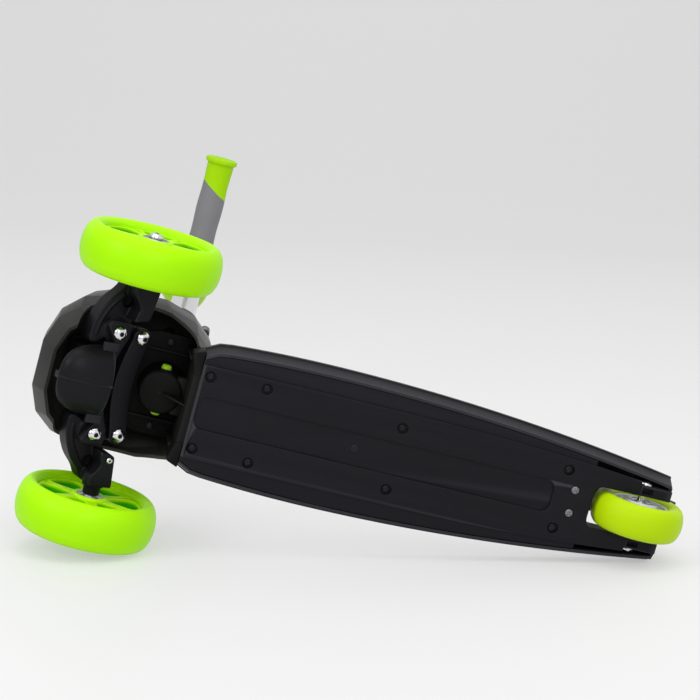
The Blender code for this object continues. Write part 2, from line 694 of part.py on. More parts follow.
def make_knuckle(side, label):
    """The arm from a kingpin to a front wheel, its outline given forward and outward from the kingpin."""
    reach = HALF_TRACK - FRONT_WHEEL_WIDTH / 2 - HALF_SPAN
    outer = reach - 0.0045
    axle_u, axle_w = axle_in_steering.x, axle_in_steering.z
    outline = [
        (-0.0165, 0.0135), (-0.0195, 0.0200), (axle_u - 0.0120, outer - 0.002), (axle_u - 0.0105, outer),
        (axle_u + 0.0090, outer), (axle_u + 0.0130, outer - 0.0085), (0.0120, 0.0250), (0.0172, 0.0155),
        (0.0215, 0.0040), (0.0225, -0.0080), (0.0205, -0.0125), (0.0150, -0.0125), (0.0080, -0.0080),
        (-0.0080, 0.0),
    ]
    knuckle = rod("knuckle_" + label, KNUCKLE_BOSS_RADIUS, KNUCKLE_BOTTOM, KNUCKLE_TOP, sides=18)
    adopt(knuckle, parts, BLACK, steering, (0, side * HALF_SPAN, 0))
    arm = sheet("knuckle_arm_" + label, [[(u, side * v) for u, v in outline]],
                KNUCKLE_BOTTOM + 0.001, KNUCKLE_TOP - 0.001)
    foot_low, foot_high = sorted((side * (outer - 0.0135), side * outer))
    foot = block("knuckle_foot_" + label, (axle_u - 0.0115, foot_low, axle_w - 0.0095),
                 (axle_u + 0.0085, foot_high, KNUCKLE_TOP - 0.0012))
    stub_low, stub_high = outer - 0.004, STUB_END - HALF_SPAN
    stub = rod("knuckle_stub_" + label, STUB_RADIUS, min(side * stub_low, side * stub_high),
               max(side * stub_low, side * stub_high), (axle_u, axle_w), "Y", 14)
    lug_outline = pill((0, 0), (-TIE_ROD_BEHIND, -side * TIE_ROD_INSET), TIE_ROD_HALF_WIDTH)
    lug = sheet("knuckle_lug_" + label, [lug_outline], KNUCKLE_BOTTOM, KNUCKLE_BOTTOM + 0.009)
    for piece in (arm, rounded(foot, 0.002, 1), stub, lug):
        join(knuckle, adopt(piece, cutters, parent=steering, place=(0, side * HALF_SPAN, 0)))
    pin = rod("knuckle_bore_" + label, AXLE_RADIUS + SEAT_GAP, 0, KNUCKLE_TOP + 0.01, sides=14)
    pocket = rod("spring_pocket_" + label, RETURN_SPRING_RADIUS + SPRING_WIRE + RUNNING_GAP,
                 KNUCKLE_TOP - RETURN_SPRING_DEPTH, KNUCKLE_TOP + 0.01, sides=18)
    tie = rod("lug_bore_" + label, TIE_BOLT_RADIUS + SEAT_GAP, 0, KNUCKLE_BOTTOM + 0.02,
              (-TIE_ROD_BEHIND, -side * TIE_ROD_INSET), sides=12)
    depth = STUB_END - HALF_SPAN
    bore_low, bore_high = depth - STUB_LENGTH, depth + 0.01
    axle = rod("stub_bore_" + label, AXLE_RADIUS + SEAT_GAP, min(side * bore_low, side * bore_high),
               max(side * bore_low, side * bore_high), (axle_u, axle_w), "Y", 14)
    for piece in (pin, pocket, tie, axle):
        cut(knuckle, adopt(piece, cutters, parent=steering, place=(0, side * HALF_SPAN, 0)))
    return knuckle


def coil(radius, pitch, turns, points_per_turn=8):
    """Points of a helix about Z, rising from zero."""
    angles = [math.tau * i / points_per_turn for i in range(turns * points_per_turn + 1)]
    return [(radius * math.cos(a), radius * math.sin(a), pitch * a / math.tau) for a in angles]


RETURN_SPRING_PITCH = 2 * SPRING_WIRE + 0.0006
RETURN_SPRING_DEPTH = RETURN_SPRING_TURNS * RETURN_SPRING_PITCH + 2 * SPRING_WIRE + RUNNING_GAP


def make_return_spring(side, label):
    points = coil(RETURN_SPRING_RADIUS, RETURN_SPRING_PITCH, RETURN_SPRING_TURNS)
    spring = wire("return_spring_" + label, points, SPRING_WIRE)
    low = KNUCKLE_TOP - RETURN_SPRING_DEPTH + SPRING_WIRE + SEAT_GAP
    return adopt(spring, parts, STEEL, steering, (0, side * HALF_SPAN, low))


TIE_SPAN = KINGPIN_SPAN - 2 * TIE_ROD_INSET


def make_tie_rod():
    """A flat bowed strip with an eye at each end. Its origin is its left eye."""
    def edge(offset, belly):
        shares = [i / 8 for i in range(1, 8)]
        bow = [TIE_ROD_BOW * math.sin(math.pi * t) + offset + belly * math.sin(math.pi * t) for t in shares]
        return [(u, -TIE_SPAN * t) for u, t in zip(bow, shares)]
    half = TIE_ROD_HALF_WIDTH
    outline = arc(half, 0, math.pi, 9) + edge(-half, 0)
    outline += arc(half, math.pi, math.tau, 9, (0, -TIE_SPAN)) + edge(half, 0.001)[::-1]
    strip = sheet("tie_rod", [outline], SEAT_GAP, CARRIER_PLATE)
    adopt(strip, parts, BLACK, steering, (-TIE_ROD_BEHIND, TIE_SPAN / 2, 0))
    closed = rod("tie_hole_left", TIE_BOLT_RADIUS + SEAT_GAP, -0.01, 0.02, (0, 0), sides=16)
    opened = rod("tie_hole_right", TIE_BOLT_RADIUS + OPEN_PIVOT_GAP, -0.01, 0.02, (0, -TIE_SPAN), sides=16)
    for hole in (closed, opened):
        cut(strip, adopt(hole, cutters, parent=steering, place=(-TIE_ROD_BEHIND, TIE_SPAN / 2, 0)))
    return strip


make_tie_rod()
make_bolt("carrier_bolt", AXLE_RADIUS, BOLT_HEAD_RADIUS, CARRIER_TOP + CARRIER_BOLT_REACH, STEEL, steering,
          (CARRIER_BOLT_AHEAD, 0, -SEAT_GAP))
for side, label in ((1, "left"), (-1, "right")):
    make_knuckle(side, label)
    make_return_spring(side, label)
    make_bolt("kingpin_" + label, AXLE_RADIUS, BOLT_HEAD_RADIUS, CARRIER_TOP + 0.002, CHROME, steering,
              (0, side * HALF_SPAN, -SEAT_GAP))
    make_bolt("tie_rod_bolt_" + label, TIE_BOLT_RADIUS, BOLT_HEAD_RADIUS, KNUCKLE_BOTTOM + 0.009, CHROME,
              steering,
              (-TIE_ROD_BEHIND, side * TIE_SPAN / 2, 0))


# Wheels

def tyre_profile(bore, radius, half_width, shoulder):
    """A round crown over straight sides, from the top down its outer side and back along the bore."""
    crown = arc(1.0, math.radians(75), math.radians(-75), 5)
    depth = radius - bore - 0.0015
    points = [(bore + 0.0015 + depth * c**shoulder, half_width * s) for c, s in crown]
    return [(bore, half_width - 0.0035)] + points + [(bore, -half_width + 0.0035)]


def make_wheel_core(name, radius, half_width, web_radius, parent, place):
    """A spoked lime core: pairs of spokes leaning together, small windows between them and a closed web."""
    bore = BEARING_RADIUS + SEAT_GAP
    hub = bore + HUB_WALL
    rim = radius - 0.0035
    outlines = [ring_points(radius, 24), ring_points(bore, 16)]
    pitch = math.tau / SPOKE_PAIRS
    for number in range(SPOKE_PAIRS):
        middle = number * pitch
        wide = pitch * 0.33
        pocket = arc(rim, middle - wide, middle + wide, 4)
        pocket += arc(hub + 0.0025, middle + wide * 0.62, middle - wide * 0.62, 2)
        outlines.append(pocket)
        tip = middle + pitch / 2
        narrow = pitch * 0.085
        small_pocket = arc(rim - 0.002, tip - narrow, tip + narrow, 2)
        small_pocket.append((math.cos(tip) * (hub + 0.009), math.sin(tip) * (hub + 0.009)))
        outlines.append(small_pocket)
    core = sheet(name, outlines, -half_width, half_width)
    core.data.transform(AXIS_TURN["Y"])
    adopt(core, parts, LIME, parent, place)
    seat = half_width - BEARING_WIDTH
    shoulder = BEARING_RADIUS * 0.62
    profile = [(shoulder, seat), (hub - 0.001, seat), (hub - 0.001, WHEEL_WEB / 2),
               (web_radius, WHEEL_WEB / 2), (web_radius, -WHEEL_WEB / 2),
               (hub - 0.001, -WHEEL_WEB / 2), (hub - 0.001, -seat), (shoulder, -seat)]
    web = turned(name + "_web", profile, 12, "Y")
    join(core, adopt(web, cutters, parent=parent, place=place))
    return core


def make_bearing(name, parent, place):
    """A sealed ball bearing, as one ring."""
    bore = AXLE_RADIUS + SEAT_GAP
    half = BEARING_WIDTH / 2
    profile = [(bore, half), (BEARING_RADIUS, half), (BEARING_RADIUS, -half), (bore, -half)]
    return adopt(turned(name, profile, 16, "Y"), parts, STEEL, parent, place)


def make_front_wheel(side, label):
    centre = frame(f"front_wheel_{label}_frame", (FRONT_AXLE_X, side * HALF_TRACK, FRONT_WHEEL_RADIUS))
    half = FRONT_WHEEL_WIDTH / 2
    bore = FRONT_CORE_RADIUS + SEAT_GAP
    tyre = turned("front_tyre_" + label, tyre_profile(bore, FRONT_WHEEL_RADIUS, half, 0.5), 32, "Y")
    adopt(tyre, parts, LIME_TYRE, centre)
    make_wheel_core("front_core_" + label, FRONT_CORE_RADIUS, FRONT_HUB_WIDTH / 2,
                    FRONT_CORE_RADIUS - 0.0015, centre, (0, 0, 0))
    seat = FRONT_HUB_WIDTH / 2 - BEARING_WIDTH / 2
    make_bearing(f"front_bearing_{label}_outer", centre, (0, side * (seat + SEAT_GAP / 2), 0))
    make_bearing(f"front_bearing_{label}_inner", centre, (0, -side * (seat + SEAT_GAP / 2), 0))
    turn = (side * math.pi / 2, 0, 0)
    face = FRONT_HUB_WIDTH / 2 + SEAT_GAP * 1.5
    length = FRONT_HUB_WIDTH + STUB_LENGTH - 0.001
    make_bolt("front_axle_bolt_" + label, AXLE_RADIUS, BOLT_HEAD_RADIUS, length, CHROME, centre,
              (0, side * face, 0), turn)


def make_rear_wheel():
    centre = frame("rear_wheel_frame", (REAR_AXLE_X, 0, REAR_WHEEL_RADIUS))
    half = REAR_WHEEL_WIDTH / 2
    bore = REAR_CORE_RADIUS + SEAT_GAP
    tyre = turned("rear_tyre", tyre_profile(bore, REAR_WHEEL_RADIUS, half, 0.55), 24, "Y")
    adopt(tyre, parts, LIME_TYRE, centre)
    hub = REAR_HUB_WIDTH / 2
    seat = hub - BEARING_WIDTH
    pocket = BEARING_RADIUS + SEAT_GAP
    shoulder = BEARING_RADIUS * 0.62
    rim = half - 0.0045
    rise = pocket + HUB_WALL
    profile = [(shoulder, seat), (pocket, seat), (pocket, hub), (rise, hub), (rise + 0.001, rim - 0.003),
               (REAR_CORE_RADIUS - 0.003, rim - 0.003), (REAR_CORE_RADIUS - 0.0025, rim),
               (REAR_CORE_RADIUS, rim)]
    profile += [(r, -y) for r, y in reversed(profile)]
    adopt(turned("rear_core", profile, 16, "Y"), parts, PALE_PLASTIC, centre)
    middle = hub - BEARING_WIDTH / 2 + SEAT_GAP / 2
    for side, label in ((1, "left"), (-1, "right")):
        make_bearing("rear_bearing_" + label, centre, (0, side * middle, 0))
    head = EAR_OUTSIDE + SEAT_GAP
    length = 2 * EAR_OUTSIDE + 0.004
    make_bolt("rear_axle_bolt", AXLE_RADIUS, BOLT_HEAD_RADIUS - 0.0004, length, CHROME, centre,
              (0, head, 0), (math.pi / 2, 0, 0))
    nut = rod("rear_axle_nut", BOLT_HEAD_RADIUS, -head - 0.0036, -head, (0, 0), "Y", 6)
    adopt(rounded(nut, 0.0006, 1), parts, CHROME, centre)
    thread = rod("nut_bore", AXLE_RADIUS + SEAT_GAP, -head - 0.01, 0, (0, 0), "Y", 20)
    cut(nut, adopt(thread, cutters, parent=centre))
    return centre


make_rear_wheel()
for side, label in ((1, "left"), (-1, "right")):
    make_front_wheel(side, label)


# Front casing

CASING_CORNERS = 16
CASING_FRONT_SQUARE = 0.70
CASING_MIDDLE = 0.450


def casing_section(height, nose, tail, half_width, rear_square):
    """One level of the faceted casing: a blunt oval in front and, low down, nearly a square behind."""
    points = []
    for i in range(CASING_CORNERS):
        angle = math.tau * (i + 0.5) / CASING_CORNERS
        c, s = math.cos(angle), math.sin(angle)
        power = CASING_FRONT_SQUARE if c > 0 else rear_square
        length = nose - CASING_MIDDLE if c > 0 else CASING_MIDDLE - tail
        x = CASING_MIDDLE + length * math.copysign((abs(c) / CORNER_REACH) ** power, c)
        y = half_width * math.copysign((abs(s) / CORNER_REACH) ** power, s)
        points.append((x, y, height))
    return points


CORNER_REACH = math.cos(math.pi / CASING_CORNERS)


def make_casing():
    """A faceted dome, open below, with an arch on each side for the wheel's arm and a hole for the stem."""
    low = DECK_TOP + SEAT_GAP
    stem_x = STEM_FOOT_X - math.tan(STEM_TILT) * (CASING_TOP - STEM_FOOT_Z)
    hole = LOWER_TUBE_RADIUS + 0.0022
    full = CASING_HALF_WIDTH
    rise = CASING_TOP - low
    sections = [
        casing_section(low, NOSE_REACH - 0.0100, 0.3850, full * 0.83, 0.30),
        casing_section(low + rise * 0.20, NOSE_REACH, 0.3810, full * 0.91, 0.45),
        casing_section(low + rise * 0.46, NOSE_REACH - 0.0020, 0.3770, full * 0.97, 0.62),
        casing_section(low + rise * 0.69, NOSE_REACH - 0.0160, 0.3760, full, 0.72),
        casing_section(low + rise * 0.86, NOSE_REACH - 0.0430, 0.3800, full * 0.83, 0.80),
        casing_section(low + rise * 0.96, NOSE_REACH - 0.0700, 0.3860, full * 0.50, 0.90),
        [(stem_x + hole * math.cos(math.tau * (i + 0.5) / CASING_CORNERS),
          hole * math.sin(math.tau * (i + 0.5) / CASING_CORNERS), CASING_TOP)
         for i in range(CASING_CORNERS)],
    ]
    bm = bmesh.new()
    rings = [[bm.verts.new(point) for point in section] for section in sections]
    for below, above in zip(rings, rings[1:]):
        for i in range(CASING_CORNERS):
            j = (i + 1) % CASING_CORNERS
            bm.faces.new((below[i], below[j], above[j], above[i]))
    casing = mesh_object("front_casing", bm)
    shell = casing.modifiers.new("wall", "SOLIDIFY")
    shell.thickness = CASING_WALL
    shell.offset = -1
    shell.use_even_offset = True
    casing = baked(casing)
    casing.data.shade_flat()
    adopt(casing, parts, GLOSS_BLACK, rear)
    arch = rod("casing_arch", ARCH_RADIUS, -0.1, 0.1, (ARCH_X, low - 0.004), "Y", 20)
    cut(casing, adopt(arch, cutters, parent=rear))
    for side, label in ((1, "left"), (-1, "right")):
        place = (CASING_SCREW_X, side * CASING_SCREW_Y)
        post = rod("casing_post_" + label, SCREW_BOSS_RADIUS, CEILING_TOP + SEAT_GAP, low + rise * 0.90,
                   place, sides=10)
        join(casing, adopt(post, cutters, parent=rear))
        hole = rod("casing_post_hole_" + label, SCREW_RADIUS + SEAT_GAP, CEILING_TOP, CEILING_TOP + 0.012,
                   place, sides=8)
        cut(casing, adopt(hole, cutters, parent=rear))
        make_screw("casing_screw_" + label, *place, CEILING_BOTTOM - SEAT_GAP - SCREW_HEAD_HEIGHT,
                   CEILING_TOP + 0.010, DARK_STEEL)
    return casing


make_casing()


# Stem, collar and handlebar

def tube(name, radius, wall, low, high, surface, parent, axis="Z", sides=24):
    profile = [(radius - wall, high), (radius, high), (radius, low), (radius - wall, low)]
    return adopt(turned(name, profile, sides, axis), parts, surface, parent)


def make_stem():
    lower = tube("lower_tube", LOWER_TUBE_RADIUS, TUBE_WALL, SOCKET_FLOOR + SEAT_GAP, LOWER_TUBE_TOP,
                 ALUMINIUM, stem)
    holes = rod("tube_button_holes", STEM_BUTTON_RADIUS + SEAT_GAP, -0.05, 0.05, (0, STEM_BUTTON_RISE),
                "Y", 14)
    cut(lower, adopt(holes, cutters, parent=stem))
    top = BAR_HEIGHT - BAR_RADIUS - 2 * SEAT_GAP
    tube("upper_tube", UPPER_TUBE_RADIUS, TUBE_WALL, UPPER_TUBE_BOTTOM, top, ALUMINIUM, stem)


def make_collar():
    """The clamp on the lower tube's top: a split ring that also guides the upper tube."""
    low = LOWER_TUBE_TOP + COLLAR_ABOVE_TUBE - COLLAR_HEIGHT
    high = LOWER_TUBE_TOP + COLLAR_ABOVE_TUBE
    guide = UPPER_TUBE_RADIUS + SEAT_GAP
    bore = LOWER_TUBE_RADIUS + SEAT_GAP
    lip = LOWER_TUBE_TOP + SEAT_GAP
    profile = [(guide, high), (COLLAR_RADIUS - 0.002, high), (COLLAR_RADIUS, high - 0.002),
               (COLLAR_RADIUS, low),
               (bore, low), (bore, lip), (guide, lip)]
    collar = adopt(turned("height_collar", profile, 20), parts, BLACK, stem)
    middle = (low + high) / 2 - 0.001
    ear_back = -COLLAR_RADIUS - 0.0095
    ears = block("collar_ears", (ear_back, -0.0085, middle - 0.009),
                 (-bore - 0.0015, 0.0085, middle + 0.009))
    join(collar, adopt(rounded(ears, 0.002, 1), cutters, parent=stem))
    split = block("collar_split", (ear_back - 0.01, -0.0012, low - 0.01), (-0.005, 0.0012, high + 0.01))
    clear = rod("collar_clear", bore, low - 0.01, lip, sides=20)
    bolt_x = -COLLAR_RADIUS - 0.0045
    hole = rod("collar_bolt_hole", COLLAR_BOLT_RADIUS + SEAT_GAP, -0.05, 0.05, (bolt_x, middle), "Y", 10)
    for cutter in (split, clear, hole):
        cut(collar, adopt(cutter, cutters, parent=stem))
    return bolt_x, middle


def make_collar_lever(bolt_x, middle):
    """The clamp's bolt, with an eye around the lever's pin, and the lever that wraps round the collar."""
    ear = 0.0085 + SEAT_GAP
    pin_y = -ear - 0.0065
    bolt = rod("collar_bolt", COLLAR_BOLT_RADIUS, pin_y + LEVER_PIN_RADIUS + SEAT_GAP, ear + 0.0028,
               (bolt_x, middle), "Y", 10)
    adopt(bolt, parts, STEEL, stem)
    head = rod("collar_bolt_head", 0.0045, ear, ear + 0.0032, (bolt_x, middle), "Y", 12)
    join(bolt, adopt(head, cutters, parent=stem))
    inner = COLLAR_RADIUS + 0.0030
    outer = inner + LEVER_THICKNESS
    start = math.atan2(pin_y, bolt_x)
    sweep = arc(outer, start, start + LEVER_SWEEP, 10)
    back = arc(inner, start + LEVER_SWEEP, start + math.radians(12), 9)
    lever = sheet("collar_lever", [sweep + back], middle - LEVER_HEIGHT / 2, middle + LEVER_HEIGHT / 2)
    lever.data.transform(Matrix.Translation((-bolt_x, -pin_y, -middle)))
    adopt(lever, parts, LIME, stem, (bolt_x, pin_y, middle))
    cam = rod("lever_cam", 0.0062, -LEVER_HEIGHT / 2, LEVER_HEIGHT / 2, sides=16)
    join(lever, adopt(cam, cutters, parent=stem, place=(bolt_x, pin_y, middle)))
    width = COLLAR_BOLT_RADIUS + 2 * SEAT_GAP
    last = math.pi / 2 + LEVER_SLOT_FAN
    fan = [(width, LEVER_PIN_RADIUS), (width, 0.012), (-0.012, 0.012)]
    fan += [(0.012 * math.cos(last) + width * math.sin(last),
             0.012 * math.sin(last) - width * math.cos(last))]
    fan += arc(LEVER_PIN_RADIUS, last + math.radians(50), math.pi / 2, 7)
    slot = sheet("lever_slot", [fan], -width, width)
    cut(lever, adopt(slot, cutters, parent=stem, place=(bolt_x, pin_y, middle)))


def make_joint():
    """The lime joint of the T: a smooth body round the crossing tubes, fuller in front, with a neck below."""
    bm = bmesh.new()
    bmesh.ops.create_uvsphere(bm, u_segments=16, v_segments=10, radius=1.0)
    for vertex in bm.verts:
        x, y, z = vertex.co
        reach = JOINT_FRONT if x > 0 else JOINT_BACK
        vertex.co = (x * reach, y * JOINT_HALF_LENGTH * 1.06, z * 0.030)
    joint = mesh_object("bar_joint", bm)
    joint.data.transform(Matrix.Translation((0, 0, BAR_HEIGHT)))
    adopt(joint, parts, LIME, stem)
    neck_radius = UPPER_TUBE_RADIUS + 0.0045
    neck = rod("joint_neck", neck_radius, BAR_HEIGHT - 0.048, BAR_HEIGHT, sides=16)
    sleeve = rod("joint_sleeve", BAR_RADIUS + 0.0035, -JOINT_HALF_LENGTH, JOINT_HALF_LENGTH,
                 (0, BAR_HEIGHT), "Y", 16)
    for piece in (neck, sleeve):
        join(joint, adopt(piece, cutters, parent=stem))
    left = block("joint_end_left", (-0.1, JOINT_HALF_LENGTH, 0), (0.1, 0.1, 1))
    right = block("joint_end_right", (-0.1, -0.1, 0), (0.1, -JOINT_HALF_LENGTH, 1))
    bore = rod("joint_bore", UPPER_TUBE_RADIUS + SEAT_GAP, BAR_HEIGHT - 0.06,
               BAR_HEIGHT - BAR_RADIUS - SEAT_GAP, sides=20)
    cross = rod("joint_cross", BAR_RADIUS + SEAT_GAP, -0.1, 0.1, (0, BAR_HEIGHT), "Y", 16)
    for cutter in (left, right, bore, cross):
        cut(joint, adopt(cutter, cutters, parent=stem))
    return joint


def make_bar():
    end = BAR_HALF_LENGTH - GRIP_END_WALL - SEAT_GAP
    profile = [(BAR_RADIUS - BAR_WALL, end), (BAR_RADIUS, end), (BAR_RADIUS, -end),
               (BAR_RADIUS - BAR_WALL, -end)]
    bar = turned("cross_bar", profile, 16, "Y")
    return adopt(bar, parts, ALUMINIUM, stem, (0, 0, BAR_HEIGHT))


def make_grip(side, label):
    """A soft grip, closed at its outer end behind a round flange, and slightly waisted."""
    inner_end = JOINT_HALF_LENGTH + SEAT_GAP
    bore = BAR_RADIUS + SEAT_GAP
    length = BAR_HALF_LENGTH - inner_end
    body = [(GRIP_RADIUS - 0.0006 * math.sin(math.pi * t * 2) ** 2,
             inner_end + 0.001 + (length - GRIP_FLANGE - 0.002) * t)
            for t in (i / 4 for i in range(5))]
    flange = [(GRIP_FLANGE_RADIUS - 0.0008, BAR_HALF_LENGTH - GRIP_FLANGE),
              (GRIP_FLANGE_RADIUS, BAR_HALF_LENGTH - GRIP_FLANGE + 0.001),
              (GRIP_FLANGE_RADIUS, BAR_HALF_LENGTH - 0.0015),
              (GRIP_FLANGE_RADIUS - 0.0015, BAR_HALF_LENGTH)]
    profile = [(0, BAR_HALF_LENGTH)] + flange[::-1] + body[::-1]
    profile += [(GRIP_RADIUS - 0.001, inner_end), (bore, inner_end),
                (bore, BAR_HALF_LENGTH - GRIP_END_WALL),
                (0, BAR_HALF_LENGTH - GRIP_END_WALL)]
    grip = turned("grip_" + label, profile, 16, "Y")
    turn = (0, 0, 0) if side > 0 else (0, 0, math.pi)
    return adopt(grip, parts, GREY_RUBBER, stem, (0, 0, BAR_HEIGHT), turn)


def make_stem_buttons():
    """Two lime buttons that lock the tube in its socket, pushed out by a steel spring inside the tube."""
    out = SOCKET_RADIUS + STEM_BUTTON_STANDS_OUT
    inside = LOWER_TUBE_RADIUS - TUBE_WALL - 0.0035
    for side, label in ((1, "left"), (-1, "right")):
        profile = [(0, out), (STEM_BUTTON_RADIUS * 0.6, out - 0.0004), (STEM_BUTTON_RADIUS, out - 0.002),
                   (STEM_BUTTON_RADIUS, inside), (0, inside)]
        button = turned("stem_button_" + label, profile, 14, "Y")
        turn = (0, 0, 0) if side > 0 else (0, 0, math.pi)
        adopt(button, parts, LIME, stem, (0, 0, STEM_BUTTON_RISE), turn)
    reach = inside - 0.0008 - SEAT_GAP
    bend = arc(reach * 0.55, 0, math.pi, 9, (0, 0.032))
    points = [(0, reach, STEM_BUTTON_RISE - 0.003), (0, reach, STEM_BUTTON_RISE + 0.004)]
    points += [(0, y, z) for y, z in bend]
    points += [(0, -reach, STEM_BUTTON_RISE + 0.004), (0, -reach, STEM_BUTTON_RISE - 0.003)]
    adopt(wire("button_spring", points, 0.0008), parts, STEEL, stem)


make_stem()
make_collar_lever(*make_collar())
make_joint()
make_bar()
for side, label in ((1, "left"), (-1, "right")):
    make_grip(side, label)
make_stem_buttons()


# Foot brake

def make_brake():
    pin_z = DECK_TOP + BRAKE_PIN_RISE
    pin_x = BRAKE_PIN_AHEAD
    hinge = frame("brake_frame", (REAR_AXLE_X + pin_x, 0, pin_z))
    base_low = DECK_TOP + SEAT_GAP
    base = block("brake_bracket", (SLOT_FRONT + 0.0012, -0.0145, base_low),
                 (BRAKE_SCREW_X + 0.009, 0.0145, BRACKET_TOP))
    adopt(base, parts, BLACK, rear)
    for side, label in ((1, "left"), (-1, "right")):
        y0, y1 = sorted((side * BRACKET_EAR, side * 0.0145))
        ear = side_outline_block("bracket_ear_" + label,
                                 pill((pin_x, pin_z), (pin_x + 0.002, base_low + 0.0046), 0.0042), y0, y1)
        join(base, adopt(ear, cutters, parent=rear))
        place = (BRAKE_SCREW_X, side * BRAKE_SCREW_Y)
        hole = rod("bracket_hole_" + label, SCREW_RADIUS + SEAT_GAP, 0, BRACKET_TOP + 0.01, place, sides=8)
        cut(base, adopt(hole, cutters, parent=rear))
    pin_hole = rod("bracket_pin_hole", BRAKE_PIN_RADIUS + SEAT_GAP, -0.02, 0.02, (pin_x, pin_z), "Y", 10)
    cut(base, adopt(pin_hole, cutters, parent=rear))
    pin = rod("brake_pin", BRAKE_PIN_RADIUS, -0.0150, 0.0150, (0, 0), "Y", 10)
    adopt(pin, parts, STEEL, hinge)

    wheel = (-pin_x, REAR_WHEEL_RADIUS - pin_z)
    inner = REAR_WHEEL_RADIUS + BRAKE_GAP
    outline = arc(inner + BRAKE_THICKNESS, BRAKE_REAR_ANGLE, BRAKE_FRONT_ANGLE, 11, wheel)
    outline += arc(BRAKE_EYE_RADIUS, math.radians(56), math.radians(-124), 9)
    outline += arc(inner, BRAKE_FRONT_ANGLE, BRAKE_REAR_ANGLE, 11, wheel)
    fender = side_sheet("brake_fender", outline, BRAKE_HALF_WIDTH)
    adopt(fender, parts, BLACK, hinge)
    back = -BRAKE_EYE_RADIUS - 0.004
    for side, label in ((1, "left"), (-1, "right")):
        y0, y1 = sorted((side * (BRACKET_EAR - SEAT_GAP), side * 0.05))
        corner = block("fender_corner_" + label, (back, y0, -0.02), (0.02, y1, 0.02))
        cut(fender, adopt(corner, cutters, parent=hinge))
    gap = block("fender_gap", (back, -0.0052, -0.02), (0.02, 0.0052, 0.02))
    cut(fender, adopt(gap, cutters, parent=hinge))
    bore = rod("fender_bore", BRAKE_PIN_RADIUS + SEAT_GAP, -0.02, 0.02, (0, 0), "Y", 10)
    cut(fender, adopt(bore, cutters, parent=hinge))

    pitch = 2 * 0.0006 + 0.0005
    radius = BRAKE_PIN_RADIUS + 0.0006 + 0.0004
    length = pitch * BRAKE_SPRING_TURNS
    points = [(x, z - length / 2, -y) for x, y, z in coil(radius, pitch, BRAKE_SPRING_TURNS)]
    first, last = points[0], points[-1]
    points = [(first[0], first[1], first[2] - 0.0035)] + points + [(last[0], last[1], last[2] - 0.0035)]
    adopt(wire("brake_spring", points, 0.0006), parts, STEEL, hinge)


def side_outline_block(name, outline, low, high):
    """A flat outline in X and Z, made thick from one Y to another."""
    solid = side_sheet(name, outline, (high - low) / 2)
    solid.data.transform(Matrix.Translation((0, (low + high) / 2, 0)))
    return solid


make_brake()
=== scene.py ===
"""Looks for a three-wheel kick scooter that lies on its side, seen from underneath.

Each section below builds one piece of the scooter, or a group of like pieces, in metres and in the
place where the solid model has it. X runs to the scooter's front, Y to its left and Z to its top.
"""

import math

import bmesh
import bpy
from mathutils import Matrix, Vector


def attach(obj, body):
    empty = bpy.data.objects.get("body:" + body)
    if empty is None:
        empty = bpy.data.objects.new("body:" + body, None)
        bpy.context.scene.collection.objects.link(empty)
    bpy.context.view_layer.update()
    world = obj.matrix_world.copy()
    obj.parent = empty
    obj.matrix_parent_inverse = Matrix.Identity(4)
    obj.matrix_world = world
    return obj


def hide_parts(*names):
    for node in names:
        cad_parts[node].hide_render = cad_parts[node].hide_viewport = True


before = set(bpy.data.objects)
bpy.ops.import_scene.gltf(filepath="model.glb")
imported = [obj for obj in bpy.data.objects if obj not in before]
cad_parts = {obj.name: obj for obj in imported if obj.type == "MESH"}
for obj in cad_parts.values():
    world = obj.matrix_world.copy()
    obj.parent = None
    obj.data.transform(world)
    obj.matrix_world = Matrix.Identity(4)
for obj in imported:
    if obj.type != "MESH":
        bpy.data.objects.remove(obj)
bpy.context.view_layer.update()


# Deck shell
# The footboard is one black polypropylene moulding: a plate with a flaring side wall, open below,
# slotted at the tail for the wheel. Its top has a sunken field of short raised treads for grip.

REAR_AXLE_X, REAR_RADIUS = -0.2425, 0.040
moved = Matrix.Translation
REAR_AXLE = moved((REAR_AXLE_X, 0, 0))
DECK_TAIL, DECK_WIDEST, DECK_FRONT = -0.022, 0.280, 0.393
WIDEST_HALF, TAIL_NARROWING, FRONT_NARROWING = 0.0615, 0.0240, 0.0050
CORNER_LENGTH, CORNER_DEPTH = 0.0120, 0.0050
DECK_TOP, CAVITY_TOP, SKIRT, PANEL_SEAT = 0.054, 0.050, 0.030, 0.0336
TAIL_WALL, SIDE_WALL = 0.0032, 0.0072
SLOT_HALF, SLOT_FRONT, SLOT_CORNER, SLOT_BACK, SLOT_BACK_HALF = 0.0185, 0.0445, 0.008, 0.018, 0.0125
EAR_OUTSIDE, EAR_CORNER = 0.0283, 0.0300
NOTCH_HALF, PANEL_LOW = 0.0043, 0.0288
HEAD_SEAT_RADIUS, HEAD_SEAT_LOW, HEAD_SEAT_HIGH = 0.0076, 0.0265, 0.0300
TREAD_ROWS, TREAD_FIRST, TREAD_AHEAD, TREAD_ASIDE, TREAD_MARGIN = 30, 0.062, 0.0105, 0.0155, 0.013
TREAD_SIZE, TREAD_SUNK = (0.0030, 0.0105, 0.0007), 0.0009


def select_only(piece):
    if bpy.context.object and bpy.context.object.mode != "OBJECT":
        bpy.ops.object.mode_set(mode="OBJECT")
    bpy.ops.object.select_all(action="DESELECT")
    bpy.context.view_layer.objects.active = piece
    piece.select_set(True)


def placed(name, data):
    """A new object in the scene."""
    piece = bpy.data.objects.new(name, data)
    bpy.context.scene.collection.objects.link(piece)
    return piece


def drawn(name, points, edges=(), faces=()):
    """A new mesh from points, with the edges or faces between them."""
    mesh = bpy.data.meshes.new(name)
    mesh.from_pydata(points, edges, faces)
    mesh.update()
    piece = placed(name, mesh)
    select_only(piece)
    return piece


